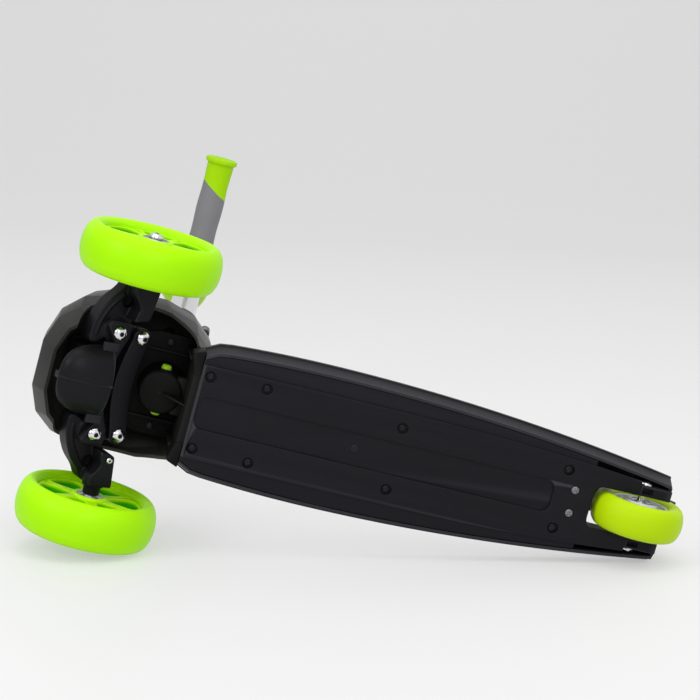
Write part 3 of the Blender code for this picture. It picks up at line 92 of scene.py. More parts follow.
def tidy_skin(piece):
    """Merges doubled points and turns every face outwards."""
    select_only(piece)
    bpy.ops.object.mode_set(mode="EDIT")
    bpy.ops.mesh.select_all(action="SELECT")
    bpy.ops.mesh.remove_doubles(threshold=0.00001)
    bpy.ops.mesh.normals_make_consistent(inside=False)
    bpy.ops.object.mode_set(mode="OBJECT")
    return piece


def apply_steps(piece):
    select_only(piece)
    for step in list(piece.modifiers):
        bpy.ops.object.modifier_apply(modifier=step.name)
    return piece


def rounded(piece, width, segments=2, angle=32):
    """Rounds the edges that turn by more than the angle."""
    step = piece.modifiers.new("round", "BEVEL")
    step.width = width
    step.segments = segments
    step.limit_method = "ANGLE"
    step.angle_limit = math.radians(angle)
    return apply_steps(piece)


def discard(*pieces):
    for piece in pieces:
        bpy.data.objects.remove(piece)


def carved(piece, *cutters, operation="DIFFERENCE"):
    """Cuts the cutters out of the piece, or adds them to it, and removes them."""
    for cutter in cutters:
        step = piece.modifiers.new("carve", "BOOLEAN")
        step.operation = operation
        step.solver = "EXACT"
        step.object = cutter
    apply_steps(piece)
    discard(*cutters)
    return piece


def joined(piece, *others):
    select_only(piece)
    for other in others:
        other.select_set(True)
    bpy.ops.object.join()
    return piece


def copied(piece, place=Matrix.Identity(4)):
    """A copy with its own mesh, in another place."""
    copy = placed(piece.name, piece.data.copy())
    copy.data.transform(place)
    return copy


def on_side(side, inner, outer):
    """Two distances from the middle as Y on one side of it, the lower first."""
    return sorted((side * inner, side * outer))


def block(name, low, high):
    """A box between two corners, for cutting or joining."""
    middle = [(a + b) / 2 for a, b in zip(low, high)]
    size = [b - a for a, b in zip(low, high)]
    bpy.ops.object.select_all(action="DESELECT")
    bpy.ops.mesh.primitive_cube_add(size=1, location=middle, scale=size)
    piece = bpy.context.object
    piece.name = name
    bpy.ops.object.transform_apply(location=True, rotation=True, scale=True)
    return piece


def rod(name, radius, low, high, centre=(0, 0), axis="Z", sides=32):
    """A round bar along Z or Y, centred in the other two directions."""
    half_way = (low + high) / 2
    middle = {"Y": (centre[0], half_way, centre[1]), "Z": (*centre, half_way)}[axis]
    turn = {"Y": (math.pi / 2, 0, 0), "Z": (0, 0, 0)}[axis]
    bpy.ops.object.select_all(action="DESELECT")
    bpy.ops.mesh.primitive_cylinder_add(vertices=sides, radius=radius, depth=high - low, location=middle,
                                        rotation=turn)
    piece = bpy.context.object
    piece.name = name
    bpy.ops.object.transform_apply(location=True, rotation=True, scale=True)
    return piece


def fit(piece, place, body, finish, slot, *stands_for, smooth=35):
    """Puts a finished piece in its place on its body, with its finish."""
    piece.data.transform(place)
    select_only(piece)
    bpy.ops.object.shade_smooth_by_angle(angle=math.radians(smooth))
    marks = [face.material_index for face in piece.data.polygons]
    piece.data.materials.clear()
    for made in finish if isinstance(finish, tuple) else (finish,):
        piece.data.materials.append(made)
    piece.data.polygons.foreach_set("material_index", marks)
    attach(piece, body)
    if stands_for:
        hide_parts(*stands_for)
    return piece


def added(tree, kind, **settings):
    """A new shader node in a tree, with its sockets set by name."""
    node = tree.nodes.new("ShaderNode" + kind)
    for socket, value in settings.items():
        node.inputs[socket.replace("_", " ")].default_value = value
    return node


def spread(tree, value, course="LINEAR", **limits):
    """A value spread from one range to another."""
    node = added(tree, "MapRange", **limits)
    node.interpolation_type = course
    tree.links.new(value, node.inputs["Value"])
    return node.outputs["Result"]


def noise(tree, where, scale, detail):
    """Noise over an object's own coordinates."""
    node = added(tree, "TexNoise", Scale=scale, Detail=detail)
    tree.links.new(where.outputs["Object"], node.inputs["Vector"])
    return node.outputs["Fac"]


def blend(tree, share, low, high):
    """A colour between two, each of them a plain colour or another node's."""
    node = added(tree, "Mix")
    node.data_type = "RGBA"
    tree.links.new(share, node.inputs["Factor"])
    for socket, tone in (("A", low), ("B", high)):
        if isinstance(tone, tuple):
            node.inputs[socket].default_value = (*tone, 1)
        else:
            tree.links.new(tone, node.inputs[socket])
    return node.outputs["Result"]


def moulded(name, colour, shade, roughness, grain=1400.0, grain_depth=0.06, worn_and_highlit_edge=None, wear_and_highlight_share=0.5,
            metallic=0.0, haze=0.06, coat=0.0, cloud=14.0, bump_distance=0.0004, gloss=0.5):
    """A node finish: cloudy colour between two tones, uneven roughness, a fine grain and paler edges."""
    made = bpy.data.materials.new(name)
    made.use_nodes = True
    tree = made.node_tree
    shader = tree.nodes["Principled BSDF"]
    shader.inputs["Metallic"].default_value = metallic
    shader.inputs["Specular IOR Level"].default_value = gloss
    shader.inputs["Coat Weight"].default_value = coat
    shader.inputs["Coat Roughness"].default_value = 0.12
    where = added(tree, "TexCoord")
    tint = blend(tree, noise(tree, where, cloud, 4.0), shade, colour)
    # Paler convex edges: partly wear, partly painted highlight along the edges.
    if worn_and_highlit_edge:
        edge = added(tree, "NewGeometry").outputs["Pointiness"]
        share = spread(tree, edge, From_Min=0.52, From_Max=0.60, To_Max=wear_and_highlight_share)
        tint = blend(tree, share, tint, worn_and_highlit_edge)
    tree.links.new(tint, shader.inputs["Base Color"])
    uneven = noise(tree, where, cloud * 4.5, 5.0)
    uneven = spread(tree, uneven, To_Min=roughness - haze, To_Max=roughness + haze)
    tree.links.new(uneven, shader.inputs["Roughness"])
    bump = added(tree, "Bump", Strength=grain_depth, Distance=bump_distance)
    tree.links.new(noise(tree, where, grain, 3.0), bump.inputs["Height"])
    tree.links.new(bump.outputs["Normal"], shader.inputs["Normal"])
    return made


# Its paler edges are partly wear, partly painted highlight along the panel's edges and channel.
SATIN_BLACK = moulded("satin_black_polypropylene", (0.0072, 0.0064, 0.0092), (0.0048, 0.0043, 0.0062), 0.40,
                      grain_depth=0.10, worn_and_highlit_edge=(0.055, 0.053, 0.063), wear_and_highlight_share=0.5, gloss=0.12)


def deck_half_width(x):
    """Half the width of the footboard, bowed from the tail to its widest place and in again."""
    if x < DECK_WIDEST:
        return WIDEST_HALF - TAIL_NARROWING * ((DECK_WIDEST - x) / (DECK_WIDEST - DECK_TAIL)) ** 2
    bow = WIDEST_HALF - FRONT_NARROWING * ((x - DECK_WIDEST) / (DECK_FRONT - DECK_WIDEST)) ** 2
    return bow - CORNER_DEPTH * max(0.0, (x - DECK_FRONT) / CORNER_LENGTH + 1)


def both_sides(left):
    """A run of points down the left side and back up the right."""
    return left + [(x, -y) for x, y in reversed(left) if abs(y) > 1e-9]


stations = [DECK_FRONT + (DECK_TAIL - DECK_FRONT) * i / 40 for i in range(41)]
quarter_turn = [math.pi / 2 * i / 6 for i in range(7)]
corner = [(SLOT_FRONT + SLOT_CORNER * (math.sin(a) - 1), SLOT_HALF + SLOT_CORNER * (math.cos(a) - 1))
          for a in quarter_turn]
rim_left = [(x, deck_half_width(x)) for x in stations] + [(DECK_TAIL, EAR_CORNER), (DECK_TAIL, SLOT_HALF)]
rim_left += [(0.0, SLOT_HALF), (SLOT_BACK, SLOT_HALF)] + corner + [(SLOT_FRONT, 0.0)]
hollow_tail, hollow_back = DECK_TAIL + TAIL_WALL, SLOT_FRONT + TAIL_WALL
hollow_left = [(max(x, hollow_tail), deck_half_width(x) - SIDE_WALL) for x in stations]
hollow_left += [(hollow_tail, EAR_CORNER - 0.0002), (hollow_tail, EAR_OUTSIDE), (0.0, EAR_OUTSIDE),
                (SLOT_BACK, EAR_OUTSIDE)]
hollow_left += [(hollow_back, EAR_OUTSIDE - (EAR_OUTSIDE - SLOT_BACK_HALF) * i / 6) for i in range(7)]
hollow_left.append((hollow_back, 0.0))
rim, hollow = both_sides(rim_left), both_sides(hollow_left)
last_side = len(stations)
levels = [(None, 0.0050, 0.0), (0.0462, 0.0012, 0.0), (0.0470, 0.0, 0.0), (0.0512, 0.0, 0.0),
          (0.0528, 0.0005, 0.0005), (0.0537, 0.0013, 0.0013), (DECK_TOP, 0.0026, 0.0026)]


def deck_ring(height, side_inset, tail_inset):
    """One level of the deck's outside, drawn in by one inset along the sides and another round the tail."""
    ring = []
    for number, ((x, y), (u, v)) in enumerate(zip(rim, hollow)):
        along_side = number < last_side or number >= len(rim) - last_side
        inward = Vector((0, v - y)) if abs(x - DECK_FRONT) < 1e-6 else Vector((u - x, v - y))
        inward = inward.normalized() * (side_inset if along_side else tail_inset)
        lowest = SKIRT if along_side else PANEL_SEAT
        ring.append((x + inward.x, y + inward.y, height or lowest))
    return ring


def strip(lower, upper):
    """Faces that join two rings of the deck, told apart by their numbers."""
    return [(lower * count + i, lower * count + i + 1, upper * count + i + 1, upper * count + i)
            for i in range(count - 1)]


points = [point for level in levels for point in deck_ring(*level)]
points += [(x, y, z) for (x, y), (_, _, z) in zip(hollow, deck_ring(None, 0, 0))]
points += [(x, y, CAVITY_TOP) for x, y in hollow]
count, rows = len(rim), len(levels)
faces = [face for row in range(rows - 1) for face in strip(row, row + 1)]
faces += [face[::-1] for face in strip(0, rows) + strip(rows, rows + 1)]
faces.append([(rows - 1) * count + i for i in range(count)])
faces.append([(rows + 1) * count + i for i in reversed(range(count))])
front_end = [row * count for row in range(rows)]
front_end += [row * count + count - 1 for row in reversed(range(rows))]
front_end += [rows * count + count - 1, (rows + 1) * count + count - 1, (rows + 1) * count, rows * count]
faces.append(front_end)
deck_shell = tidy_skin(drawn("deck_shell", points, faces=faces))

bpy.ops.object.mode_set(mode="EDIT")
bpy.ops.mesh.select_all(action="DESELECT")
skin = bmesh.from_edit_mesh(deck_shell.data)
for face in skin.faces:
    face.select_set(face.normal.z > 0.99 and face.calc_center_median().z > DECK_TOP - 0.0001)
bmesh.update_edit_mesh(deck_shell.data)
bpy.ops.mesh.inset(thickness=0.0045)
bpy.ops.mesh.inset(thickness=0.0006, depth=-0.0007)
bpy.ops.object.mode_set(mode="OBJECT")

# The axle drops into a notch in each ear from below.
through = EAR_OUTSIDE + 0.001
notch = block("notch", (-NOTCH_HALF, -through, 0.02), (NOTCH_HALF, through, REAR_RADIUS))
notch_top = rod("notch_top", NOTCH_HALF, -through, through, (0, REAR_RADIUS), "Y")
head_seat = rod("head_seat", HEAD_SEAT_RADIUS, HEAD_SEAT_LOW, HEAD_SEAT_HIGH, (0, REAR_RADIUS), "Y")
carved(deck_shell, notch, notch_top, copied(head_seat))

# A pad closes each notch from below, with a small pocket for the axle. The bolt's head sits in the left ear.
pads = []
for side in (1, -1):
    low, high = on_side(side, SLOT_HALF + 0.0004, EAR_OUTSIDE - 0.0002)
    pad = rounded(block("pad", (DECK_TAIL + 0.0004, low, PANEL_LOW), (0.0059, high, 0.0357)), 0.0006)
    low, high = on_side(side, 0.0214, 0.0260)
    pads.append(carved(pad, block("pocket", (-0.0050, low, 0.02), (0.0045, high, 0.0347))))
carved(pads[0], head_seat)

# Short treads stand in rows across the sunken field, every other row half a step along.
treads = []
tread = rod("tread", 0.5, 0, 1, sides=12)
tread.data.transform(Matrix.Diagonal((*TREAD_SIZE, 1)))
rounded(tread, 0.0003, 1)
for row in range(TREAD_ROWS):
    x = TREAD_FIRST + TREAD_AHEAD * row
    steps = int((deck_half_width(x) - TREAD_MARGIN) * 2 / TREAD_ASIDE)
    for i in range(steps + 1 - row % 2):
        y = (i - (steps - row % 2) / 2) * TREAD_ASIDE
        treads.append(copied(tread, moved((x, y, DECK_TOP - TREAD_SUNK))))
discard(tread)
joined(deck_shell, *pads, *treads)
fit(deck_shell, REAR_AXLE, "frame", SATIN_BLACK, "black_plastic", "deck_top")


# Deck panel
# A flat black panel closes the deck from below. It is moulded in one with a step round its edge, a long
# shallow channel down its middle, ten sunken screw seats and the round mark of its injection gate.

CHANNEL_HALF, CHANNEL_TAIL = 0.0140, 0.079
PANEL_HALF, PANEL_TAIL_NARROWING, PANEL_FRONT_NARROWING = 0.041, 0.013, 0.001
GAP, PANEL_TAIL = 0.0003, 0.0062
FLANGE_BACK, FLANGE_INSET = 0.0484, 0.0078
SCREW_SEATS = [(0.3854, 0.0312), (0.3373, 0.0323), (0.2184, 0.0270), (0.0708, 0.0260)]
BRAKE_SEAT = (0.0606, 0.0102)
SEAT_RADIUS, BRAKE_SEAT_RADIUS = 0.0047, 0.0039


def soft_corners(outline, radius, steps=5):
    """The outline with each corner drawn as a short curve."""
    path = []
    for before, here, after in zip(outline[-1:] + outline[:-1], outline, outline[1:] + outline[:1]):
        here, back, on = Vector(here), Vector(before) - Vector(here), Vector(after) - Vector(here)
        if back.angle(on) > math.radians(165):
            path.append(tuple(here))
            continue
        start = here + back.normalized() * min(radius, back.length * 0.45)
        end = here + on.normalized() * min(radius, on.length * 0.45)
        for i in range(steps + 1):
            t = i / steps
            path.append(tuple(start * (1 - t) ** 2 + here * 2 * t * (1 - t) + end * t**2))
    return path


def circle(x, y, radius, steps=28, start=0.0):
    """Points round a circle. The first lies a share of a step past the X axis."""
    turns = [math.tau * (i + start) / steps for i in range(steps)]
    return [(x + radius * math.cos(a), y + radius * math.sin(a)) for a in turns]


def traced(name, drawing, lines, closed):
    """A mesh from a curve that runs along lines of points."""
    for points in lines:
        line = drawing.splines.new("POLY")
        line.points.add(len(points) - 1)
        for point, place in zip(line.points, points):
            point.co = (*place, 1)
        line.use_cyclic_u = closed
    select_only(placed(name, drawing))
    bpy.ops.object.convert(target="MESH")
    return tidy_skin(bpy.context.object)


def plate(name, outlines, low, high, edge=0.0004, steps=2):
    """A flat plate with rounded edges. Its first outline is its rim, the others are openings in it."""
    drawing = bpy.data.curves.new(name, "CURVE")
    drawing.dimensions = "2D"
    drawing.fill_mode = "BOTH"
    drawing.extrude = (high - low) / 2 - edge
    drawing.bevel_depth = edge
    drawing.bevel_resolution = steps
    drawing.offset = -edge
    piece = traced(name, drawing, [[(x, y, 0) for x, y in outline] for outline in outlines], True)
    piece.data.transform(moved((0, 0, (low + high) / 2)))
    return piece


def panel_half_width(x):
    if x < DECK_WIDEST:
        return PANEL_HALF - PANEL_TAIL_NARROWING * ((DECK_WIDEST - x) / (DECK_WIDEST - DECK_TAIL)) ** 3
    return PANEL_HALF - PANEL_FRONT_NARROWING * ((x - DECK_WIDEST) / (DECK_FRONT - DECK_WIDEST)) ** 3


seats = [circle(x, side * y, SEAT_RADIUS) for x, y in SCREW_SEATS for side in (1, -1)]
seats += [circle(BRAKE_SEAT[0], side * BRAKE_SEAT[1], BRAKE_SEAT_RADIUS) for side in (1, -1)]
panel_stations = [DECK_FRONT + (PANEL_TAIL - DECK_FRONT) * i / 36 for i in range(37)]
slot_left = [(PANEL_TAIL, SLOT_HALF + GAP), (0.020, SLOT_HALF + GAP)] + corner + [(SLOT_FRONT, 0.0)]
face_outline = both_sides([(x, panel_half_width(x)) for x in panel_stations] + slot_left)
channel_outline = soft_corners([(DECK_FRONT - 0.003, -CHANNEL_HALF), (DECK_FRONT - 0.003, CHANNEL_HALF),
                                (CHANNEL_TAIL, CHANNEL_HALF), (CHANNEL_TAIL, -CHANNEL_HALF)], 0.009, 7)
flange_stations = [x for x in panel_stations if x > FLANGE_BACK] + [FLANGE_BACK]
flange_left = [(x, deck_half_width(x) - FLANGE_INSET) for x in flange_stations]
flange_left += [(x, EAR_OUTSIDE - 0.0002) for x in (FLANGE_BACK, 0.030, PANEL_TAIL + 0.0002)] + slot_left
flange_outline = both_sides(flange_left)
panel_face = plate("deck_panel", [face_outline, channel_outline] + seats, PANEL_LOW, 0.0310, 0.0006, 3)
panel_flange = plate("flange", [flange_outline] + seats, 0.0306, 0.0322, 0.0003)
panel_floor = plate("floor", [flange_outline], 0.0319, 0.0333, 0.0003)
gate_mark = rod("gate_mark", 0.0031, 0.0298, 0.0312, (0.2535, 0.0008), sides=28)
rounded(gate_mark, 0.0005)
for vertex in panel_face.data.vertices:
    if vertex.co.x > DECK_FRONT - 0.0007 and vertex.co.z < 0.0300:
        vertex.co.x -= 0.0016
joined(panel_face, panel_flange, panel_floor, gate_mark)
fit(panel_face, REAR_AXLE, "frame", SATIN_BLACK, "black_plastic", "deck_bottom")


# Deck screws
# Eight black pan-head screws with cross slots sit deep in the panel's seats, and two zinc ones beside
# them run up through the deck into the brake's bracket.

HANDS = ((1, "left"), (-1, "right"))
SCREW_SHANK, SCREW_HEAD = 0.0018, 0.0036


def turned(name, profile, steps=48):
    """A closed profile of (radius, height) points, spun about Z."""
    count = len(profile)
    edges = [(i, (i + 1) % count) for i in range(count)]
    edges = [(a, b) for a, b in edges if profile[a][0] > 0 or profile[b][0] > 0]
    piece = drawn(name, [(radius, 0, height) for radius, height in profile], edges)
    bpy.ops.object.mode_set(mode="EDIT")
    bpy.ops.mesh.select_all(action="SELECT")
    bpy.ops.mesh.spin(steps=steps, angle=math.tau, center=(0, 0, 0), axis=(0, 0, 1))
    return tidy_skin(piece)


def arc(radius, start, end, steps, centre=(0, 0), squash=1.0):
    """Points along an arc, its angles in degrees."""
    turns = [math.radians(start + (end - start) * i / steps) for i in range(steps + 1)]
    return [(centre[0] + radius * math.cos(a), centre[1] + radius * squash * math.sin(a)) for a in turns]


def cross_screw(name, length):
    """A screw that points up from its head at zero, with a cross slot sunk in the head."""
    head = [(SCREW_HEAD, 0.0014)] + arc(SCREW_HEAD, 0, 66, 5, (0, 0.0010), -0.30)
    shank = [(0, length), (SCREW_SHANK, length - 0.0018), (SCREW_SHANK, 0.0014)]
    screw = turned(name, shank + head + [(0, 0.0)], 32)
    for x, y in ((0.0021, 0.00035), (0.00035, 0.0021)):
        carved(screw, block("slot", (-x, -y, -0.001), (x, y, 0.0009)))
    return screw


DARK_SCREW = moulded("black_oxide_steel", (0.012, 0.012, 0.014), (0.007, 0.007, 0.008), 0.42, metallic=0.5,
                     grain=2200, worn_and_highlit_edge=(0.12, 0.12, 0.13), wear_and_highlight_share=0.3, gloss=0.2)
DULL_ZINC = moulded("dull_zinc_steel", (0.200, 0.200, 0.205), (0.130, 0.130, 0.135), 0.42, metallic=0.8,
                    grain=1800, grain_depth=0.05, worn_and_highlit_edge=(0.5, 0.5, 0.5), wear_and_highlight_share=0.4, cloud=160)
deck_screw, brake_screw = cross_screw("deck_screw", 0.0176), cross_screw("brake_screw", 0.0289)
for label, (x, y) in zip(("front", "fore", "mid", "rear"), SCREW_SEATS):
    for side, hand in HANDS:
        turn = Matrix.Rotation(x * 90 + side, 4, "Z")
        place = REAR_AXLE @ moved((x, side * y, 0.0304)) @ turn
        fit(copied(deck_screw), place, "frame", DARK_SCREW, "black_steel", f"deck_screw_{label}_{hand}")
for side, hand in HANDS:
    turn = Matrix.Rotation(side * 0.9, 4, "Z")
    place = REAR_AXLE @ moved((BRAKE_SEAT[0], side * BRAKE_SEAT[1], PANEL_LOW)) @ turn
    fit(copied(brake_screw), place, "frame", DULL_ZINC, "zinc_steel", f"brake_screw_{hand}")
discard(deck_screw, brake_screw)


# Front wheels
# Each front wheel is a soft lime urethane tyre cast round a harder lime core. On both faces the core has
# six petal-shaped blind pockets with narrow ones between them. Two sealed steel bearings carry the wheel
# on a chrome button-head bolt.

HALF_TRACK, FRONT_AXLE_X, FRONT_RADIUS = 0.1123, 0.2132, 0.060
FRONT_HALF, CORE_RADIUS, SPOKE_FACE, WEB = 0.0205, 0.0445, 0.0138, 0.003
HUB_RADIUS, HUB_FACE, BEARING_RADIUS, POCKETS = 0.0148, 0.0155, 0.011, 6
AXLE_RADIUS, HEAD_RADIUS, HEAD_HEIGHT = 0.004, 0.0060, 0.0042
BEARING_HALF, BEARING_ASIDE, BOLT_ASIDE = 0.0035, 0.01215, 0.01595


def translucent(made, share):
    """Lets a little light through a lime finish."""
    shader = made.node_tree.nodes["Principled BSDF"]
    shader.inputs["Subsurface Weight"].default_value = share
    shader.inputs["Subsurface Radius"].default_value = (0.6, 1.0, 0.1)
    shader.inputs["Subsurface Scale"].default_value = 0.004
    return made


def arithmetic(tree, operation, first, *others):
    """One step of arithmetic on a node's value."""
    node = added(tree, "Math")
    node.operation = operation
    tree.links.new(first, node.inputs[0])
    for place, value in enumerate(others, 1):
        node.inputs[place].default_value = value
    return node.outputs["Value"]


def wheel_lime(name, colour, shade, deep, floor, face, roughness, share):
    """Lime with painted shade: it turns deeper green towards the wheel's middle plane, where the pockets
    have their floor.
    """
    made = moulded(name, colour, shade, roughness, grain=900, grain_depth=0.05, cloud=22, gloss=0.10)
    tree = made.node_tree
    split = added(tree, "SeparateXYZ")
    tree.links.new(added(tree, "TexCoord").outputs["Object"], split.inputs["Vector"])
    aside = arithmetic(tree, "ABSOLUTE", split.outputs["Y"])
    depth = arithmetic(tree, "ABSOLUTE", arithmetic(tree, "SUBTRACT", aside, HALF_TRACK))
    step = spread(tree, depth, "SMOOTHSTEP", From_Min=floor, From_Max=face)
    base = tree.nodes["Principled BSDF"].inputs["Base Color"]
    tree.links.new(blend(tree, step, deep, base.links[0].from_socket), base)
    return translucent(made, share)


def tyre_profile(radius, bore, half, shoulder, lip):
    """A round crown from one side to the other, with lips that roll over to the core on both sides."""
    crown = [math.radians(-75 + 150 * i / 28) for i in range(29)]
    reach = radius - bore - 0.0015
    points = [(bore + 0.0015 + reach * math.cos(a) ** shoulder, half * math.sin(a)) for a in crown]
    edge, top = points[-1]
    quarter = [math.pi / 2 * i / 8 for i in range(1, 9)]
    roll = [(edge - (edge - bore) * math.sin(t), top - lip + lip * math.cos(t)) for t in quarter]
    return [(r, -h) for r, h in reversed(roll)] + points + roll


def bent(value, power):
    return math.copysign(abs(value) ** power, value)


def petal(middle, inner, outer, narrow, wide, steps=30, squareness=0.62):
    """A pocket's outline: a rounded window that widens from the hub to the rim."""
    points = []
    for i in range(steps):
        t = math.tau * i / steps
        radius = (inner + outer) / 2 + (outer - inner) / 2 * bent(math.sin(t), squareness)
        share = (radius - inner) / (outer - inner)
        angle = middle + (narrow + (wide - narrow) * share**0.7) * bent(math.cos(t), squareness)
        points.append((radius * math.cos(angle), radius * math.sin(angle)))
    return points


def both_faces(face):
    """A profile and its mirror image behind it."""
    return face + [(r, -h) for r, h in reversed(face)]


def bearing(name, outer, bore, half):
    """A sealed bearing: two rings with a shield sunk between them."""
    land = 0.0016
    face = [(bore, half - 0.0003), (bore + 0.0003, half), (bore + land, half), (bore + land, half - 0.0006),
            (outer - land, half - 0.0006), (outer - land, half), (outer - 0.0003, half),
            (outer, half - 0.0003)]
    return turned(name, both_faces(face), 56)


def button_bolt(name, shank, head, height, length, socket=0.0023):
    """A bolt that points up from its domed head below zero, with a hexagon socket in the head."""
    dome = arc(head, 0, -62, 9, (0, -0.0007), (height - 0.0007) / head / math.sin(math.radians(62)))
    stem = [(0, length), (shank - 0.0005, length), (shank, length - 0.0006), (shank, 0)]
    bolt = turned(name, stem + [(head - 0.0003, 0)] + dome + [(0, -height)], 48)
    carved(bolt, rod("key", socket, -height - 0.001, -height + 0.0024, sides=6))
    # Faces down in the socket take the second finish, painted shade.
    for face in bolt.data.polygons:
        sunk = face.center.xy.length < socket * 1.02 and -height + 0.0002 < face.center.z < 0
        face.material_index = 1 if sunk else 0
    return bolt


# The core turns deep green in its pocket floors, painted shade; the tyre turns only a little darker along
# its crown.
LIME_TYRE = wheel_lime("lime_urethane", (0.365, 0.780, 0.000), (0.340, 0.745, 0.000), (0.33, 0.74, 0.000),
                       0.004, 0.016, 0.38, 0.12)
LIME_CORE = wheel_lime("lime_core_plastic", (0.420, 0.820, 0.000), (0.380, 0.760, 0.000),
                       (0.022, 0.380, 0.000), 0.0100, 0.0136, 0.36, 0.02)
BEARING_STEEL = moulded("bearing_steel", (0.52, 0.53, 0.55), (0.36, 0.37, 0.40), 0.28, metallic=1.0,
                        grain=2600, grain_depth=0.03, cloud=300)
CHROME = moulded("chrome_plate", (0.74, 0.73, 0.76), (0.64, 0.63, 0.66), 0.18, metallic=1.0, grain=3000,
                 grain_depth=0.02, haze=0.04, cloud=240)
# Painted shade for the faces down in a hexagon socket.
SOCKET_PAINTED_SHADE = moulded("socket_painted_shade", (0.030, 0.030, 0.032), (0.015, 0.015, 0.016), 0.40, metallic=0.6,
                    grain=2600)

# Chrome, with painted shade down in the socket.
POLISHED = (CHROME, SOCKET_PAINTED_SHADE)
tread_line = tyre_profile(FRONT_RADIUS, CORE_RADIUS + GAP, FRONT_HALF, 0.72, 0.0060)
front_tyre = turned("front_tyre", tread_line, 96)
pitch = math.tau / POCKETS
inner, outer = HUB_RADIUS + 0.0016, CORE_RADIUS - 0.0018
windows, slots = [], []
for i in range(POCKETS):
    windows.append(petal(i * pitch, inner, outer, pitch * 0.26, pitch * 0.405))
    tip = (i + 0.5) * pitch
    wedge = [(0.0420, tip - 0.072), (0.0420, tip), (0.0420, tip + 0.072), (0.0250, tip)]
    slots.append(soft_corners([(r * math.cos(a), r * math.sin(a)) for r, a in wedge], 0.0016, 4))
outlines = [circle(0, 0, CORE_RADIUS, 72), circle(0, 0, BEARING_RADIUS + GAP, 48)] + windows + slots
spokes = plate("front_core", outlines, WEB - 0.0002, SPOKE_FACE, 0.0006, 3)
hub = turned("hub", [(BEARING_RADIUS + GAP, WEB - 0.0002), (BEARING_RADIUS + GAP, HUB_FACE - 0.0005),
                     (BEARING_RADIUS + 0.0008, HUB_FACE), (HUB_RADIUS - 0.0006, HUB_FACE),
                     (HUB_RADIUS, HUB_FACE - 0.0006), (HUB_RADIUS + 0.0008, SPOKE_FACE - 0.0008),
                     (HUB_RADIUS + 0.0008, WEB - 0.0002)], 64)
web = turned("web", both_faces([(0.0068, WEB), (CORE_RADIUS - 0.001, WEB)]), 72)
over = Matrix.Rotation(math.pi, 4, "X")
front_core = joined(spokes, copied(spokes, over), hub, copied(hub, over), web)
wheel_bearing = bearing("wheel_bearing", BEARING_RADIUS, AXLE_RADIUS + GAP, BEARING_HALF)
axle_bolt = button_bolt("axle_bolt", AXLE_RADIUS, HEAD_RADIUS, HEAD_HEIGHT, 0.039)
TO_LEFT = Matrix.Rotation(-math.pi / 2, 4, "X")
for side, hand in HANDS:
    centre = moved((FRONT_AXLE_X, side * HALF_TRACK, FRONT_RADIUS))
    wheel = f"front_wheel_{hand}"
    turn = centre @ Matrix.Rotation(math.radians(14 + 9 * side), 4, "Y") @ TO_LEFT
    fit(copied(front_tyre), turn, wheel, LIME_TYRE, "lime_tyre", f"front_tyre_{hand}")
    fit(copied(front_core), turn, wheel, LIME_CORE, "lime_plastic", f"front_core_{hand}")
    for where, end in (("outer", 1), ("inner", -1)):
        place = centre @ moved((0, end * side * BEARING_ASIDE, 0)) @ TO_LEFT
        bearing_name = f"front_bearing_{hand}_{where}"
        fit(copied(wheel_bearing), place, wheel, BEARING_STEEL, "zinc_steel", bearing_name)
    place = centre @ moved((0, side * BOLT_ASIDE, 0)) @ Matrix.Rotation(side * math.pi / 2, 4, "X")
    fit(copied(axle_bolt), place, f"knuckle_{hand}", POLISHED, "chrome", f"front_axle_bolt_{hand}")
discard(front_tyre, front_core, axle_bolt)


# Rear wheel
# A smaller lime tyre on a pale grey plastic core, between the deck's two ears. A chrome bolt passes
# through both bearings and ends in a nut on the right ear.

REAR_CORE, REAR_HALF, REAR_BEARING_ASIDE = 0.0245, 0.0155, 0.00965
REAR_CENTRE = moved((REAR_AXLE_X, 0, REAR_RADIUS))
PALE_CORE = moulded("pale_grey_plastic", (0.56, 0.57, 0.60), (0.48, 0.49, 0.52), 0.38, grain=1200,
                    worn_and_highlit_edge=(0.75, 0.75, 0.78), wear_and_highlight_share=0.3)
REAR_LIME = moulded("rear_lime_urethane", (0.420, 0.620, 0.001), (0.385, 0.585, 0.001), 0.40, grain=900,
                    grain_depth=0.05, cloud=22, gloss=0.10)
translucent(REAR_LIME, 0.12)
tread_line = tyre_profile(REAR_RADIUS, REAR_CORE + GAP, REAR_HALF, 0.55, 0.0045)
rear_tyre = turned("rear_tyre", tread_line, 80)
fit(rear_tyre, REAR_CENTRE @ TO_LEFT, "rear_wheel", REAR_LIME, "lime_tyre", "rear_tyre")
cup = [(0.0068, 0.0060), (BEARING_RADIUS + GAP, 0.0060), (BEARING_RADIUS + GAP, 0.0126),
       (BEARING_RADIUS + 0.0007, 0.0130), (0.0144, 0.0130), (0.0148, 0.0126), (0.0156, 0.0086),
       (0.0166, 0.0080), (0.0206, 0.0080), (0.0214, 0.0086), (0.0219, 0.0106), (0.0223, 0.0110),
       (REAR_CORE, 0.0110)]
rear_core = turned("rear_core", both_faces(cup), 64)
fit(rear_core, REAR_CENTRE @ TO_LEFT, "rear_wheel", PALE_CORE, "pale_plastic", "rear_core")
for side, hand in HANDS:
    place = REAR_CENTRE @ moved((0, side * REAR_BEARING_ASIDE, 0)) @ TO_LEFT
    fit(copied(wheel_bearing), place, "rear_wheel", BEARING_STEEL, "zinc_steel", f"rear_bearing_{hand}")
discard(wheel_bearing)
bolt_length = 2 * EAR_OUTSIDE + 0.0019
rear_bolt = button_bolt("rear_axle_bolt", AXLE_RADIUS, HEAD_RADIUS + 0.0009, 0.0058, bolt_length)
TO_RIGHT = Matrix.Rotation(math.pi / 2, 4, "X")
place = REAR_CENTRE @ moved((0, HEAD_SEAT_LOW + GAP, 0)) @ TO_RIGHT
fit(rear_bolt, place, "frame", CHROME, "chrome", "rear_axle_bolt")
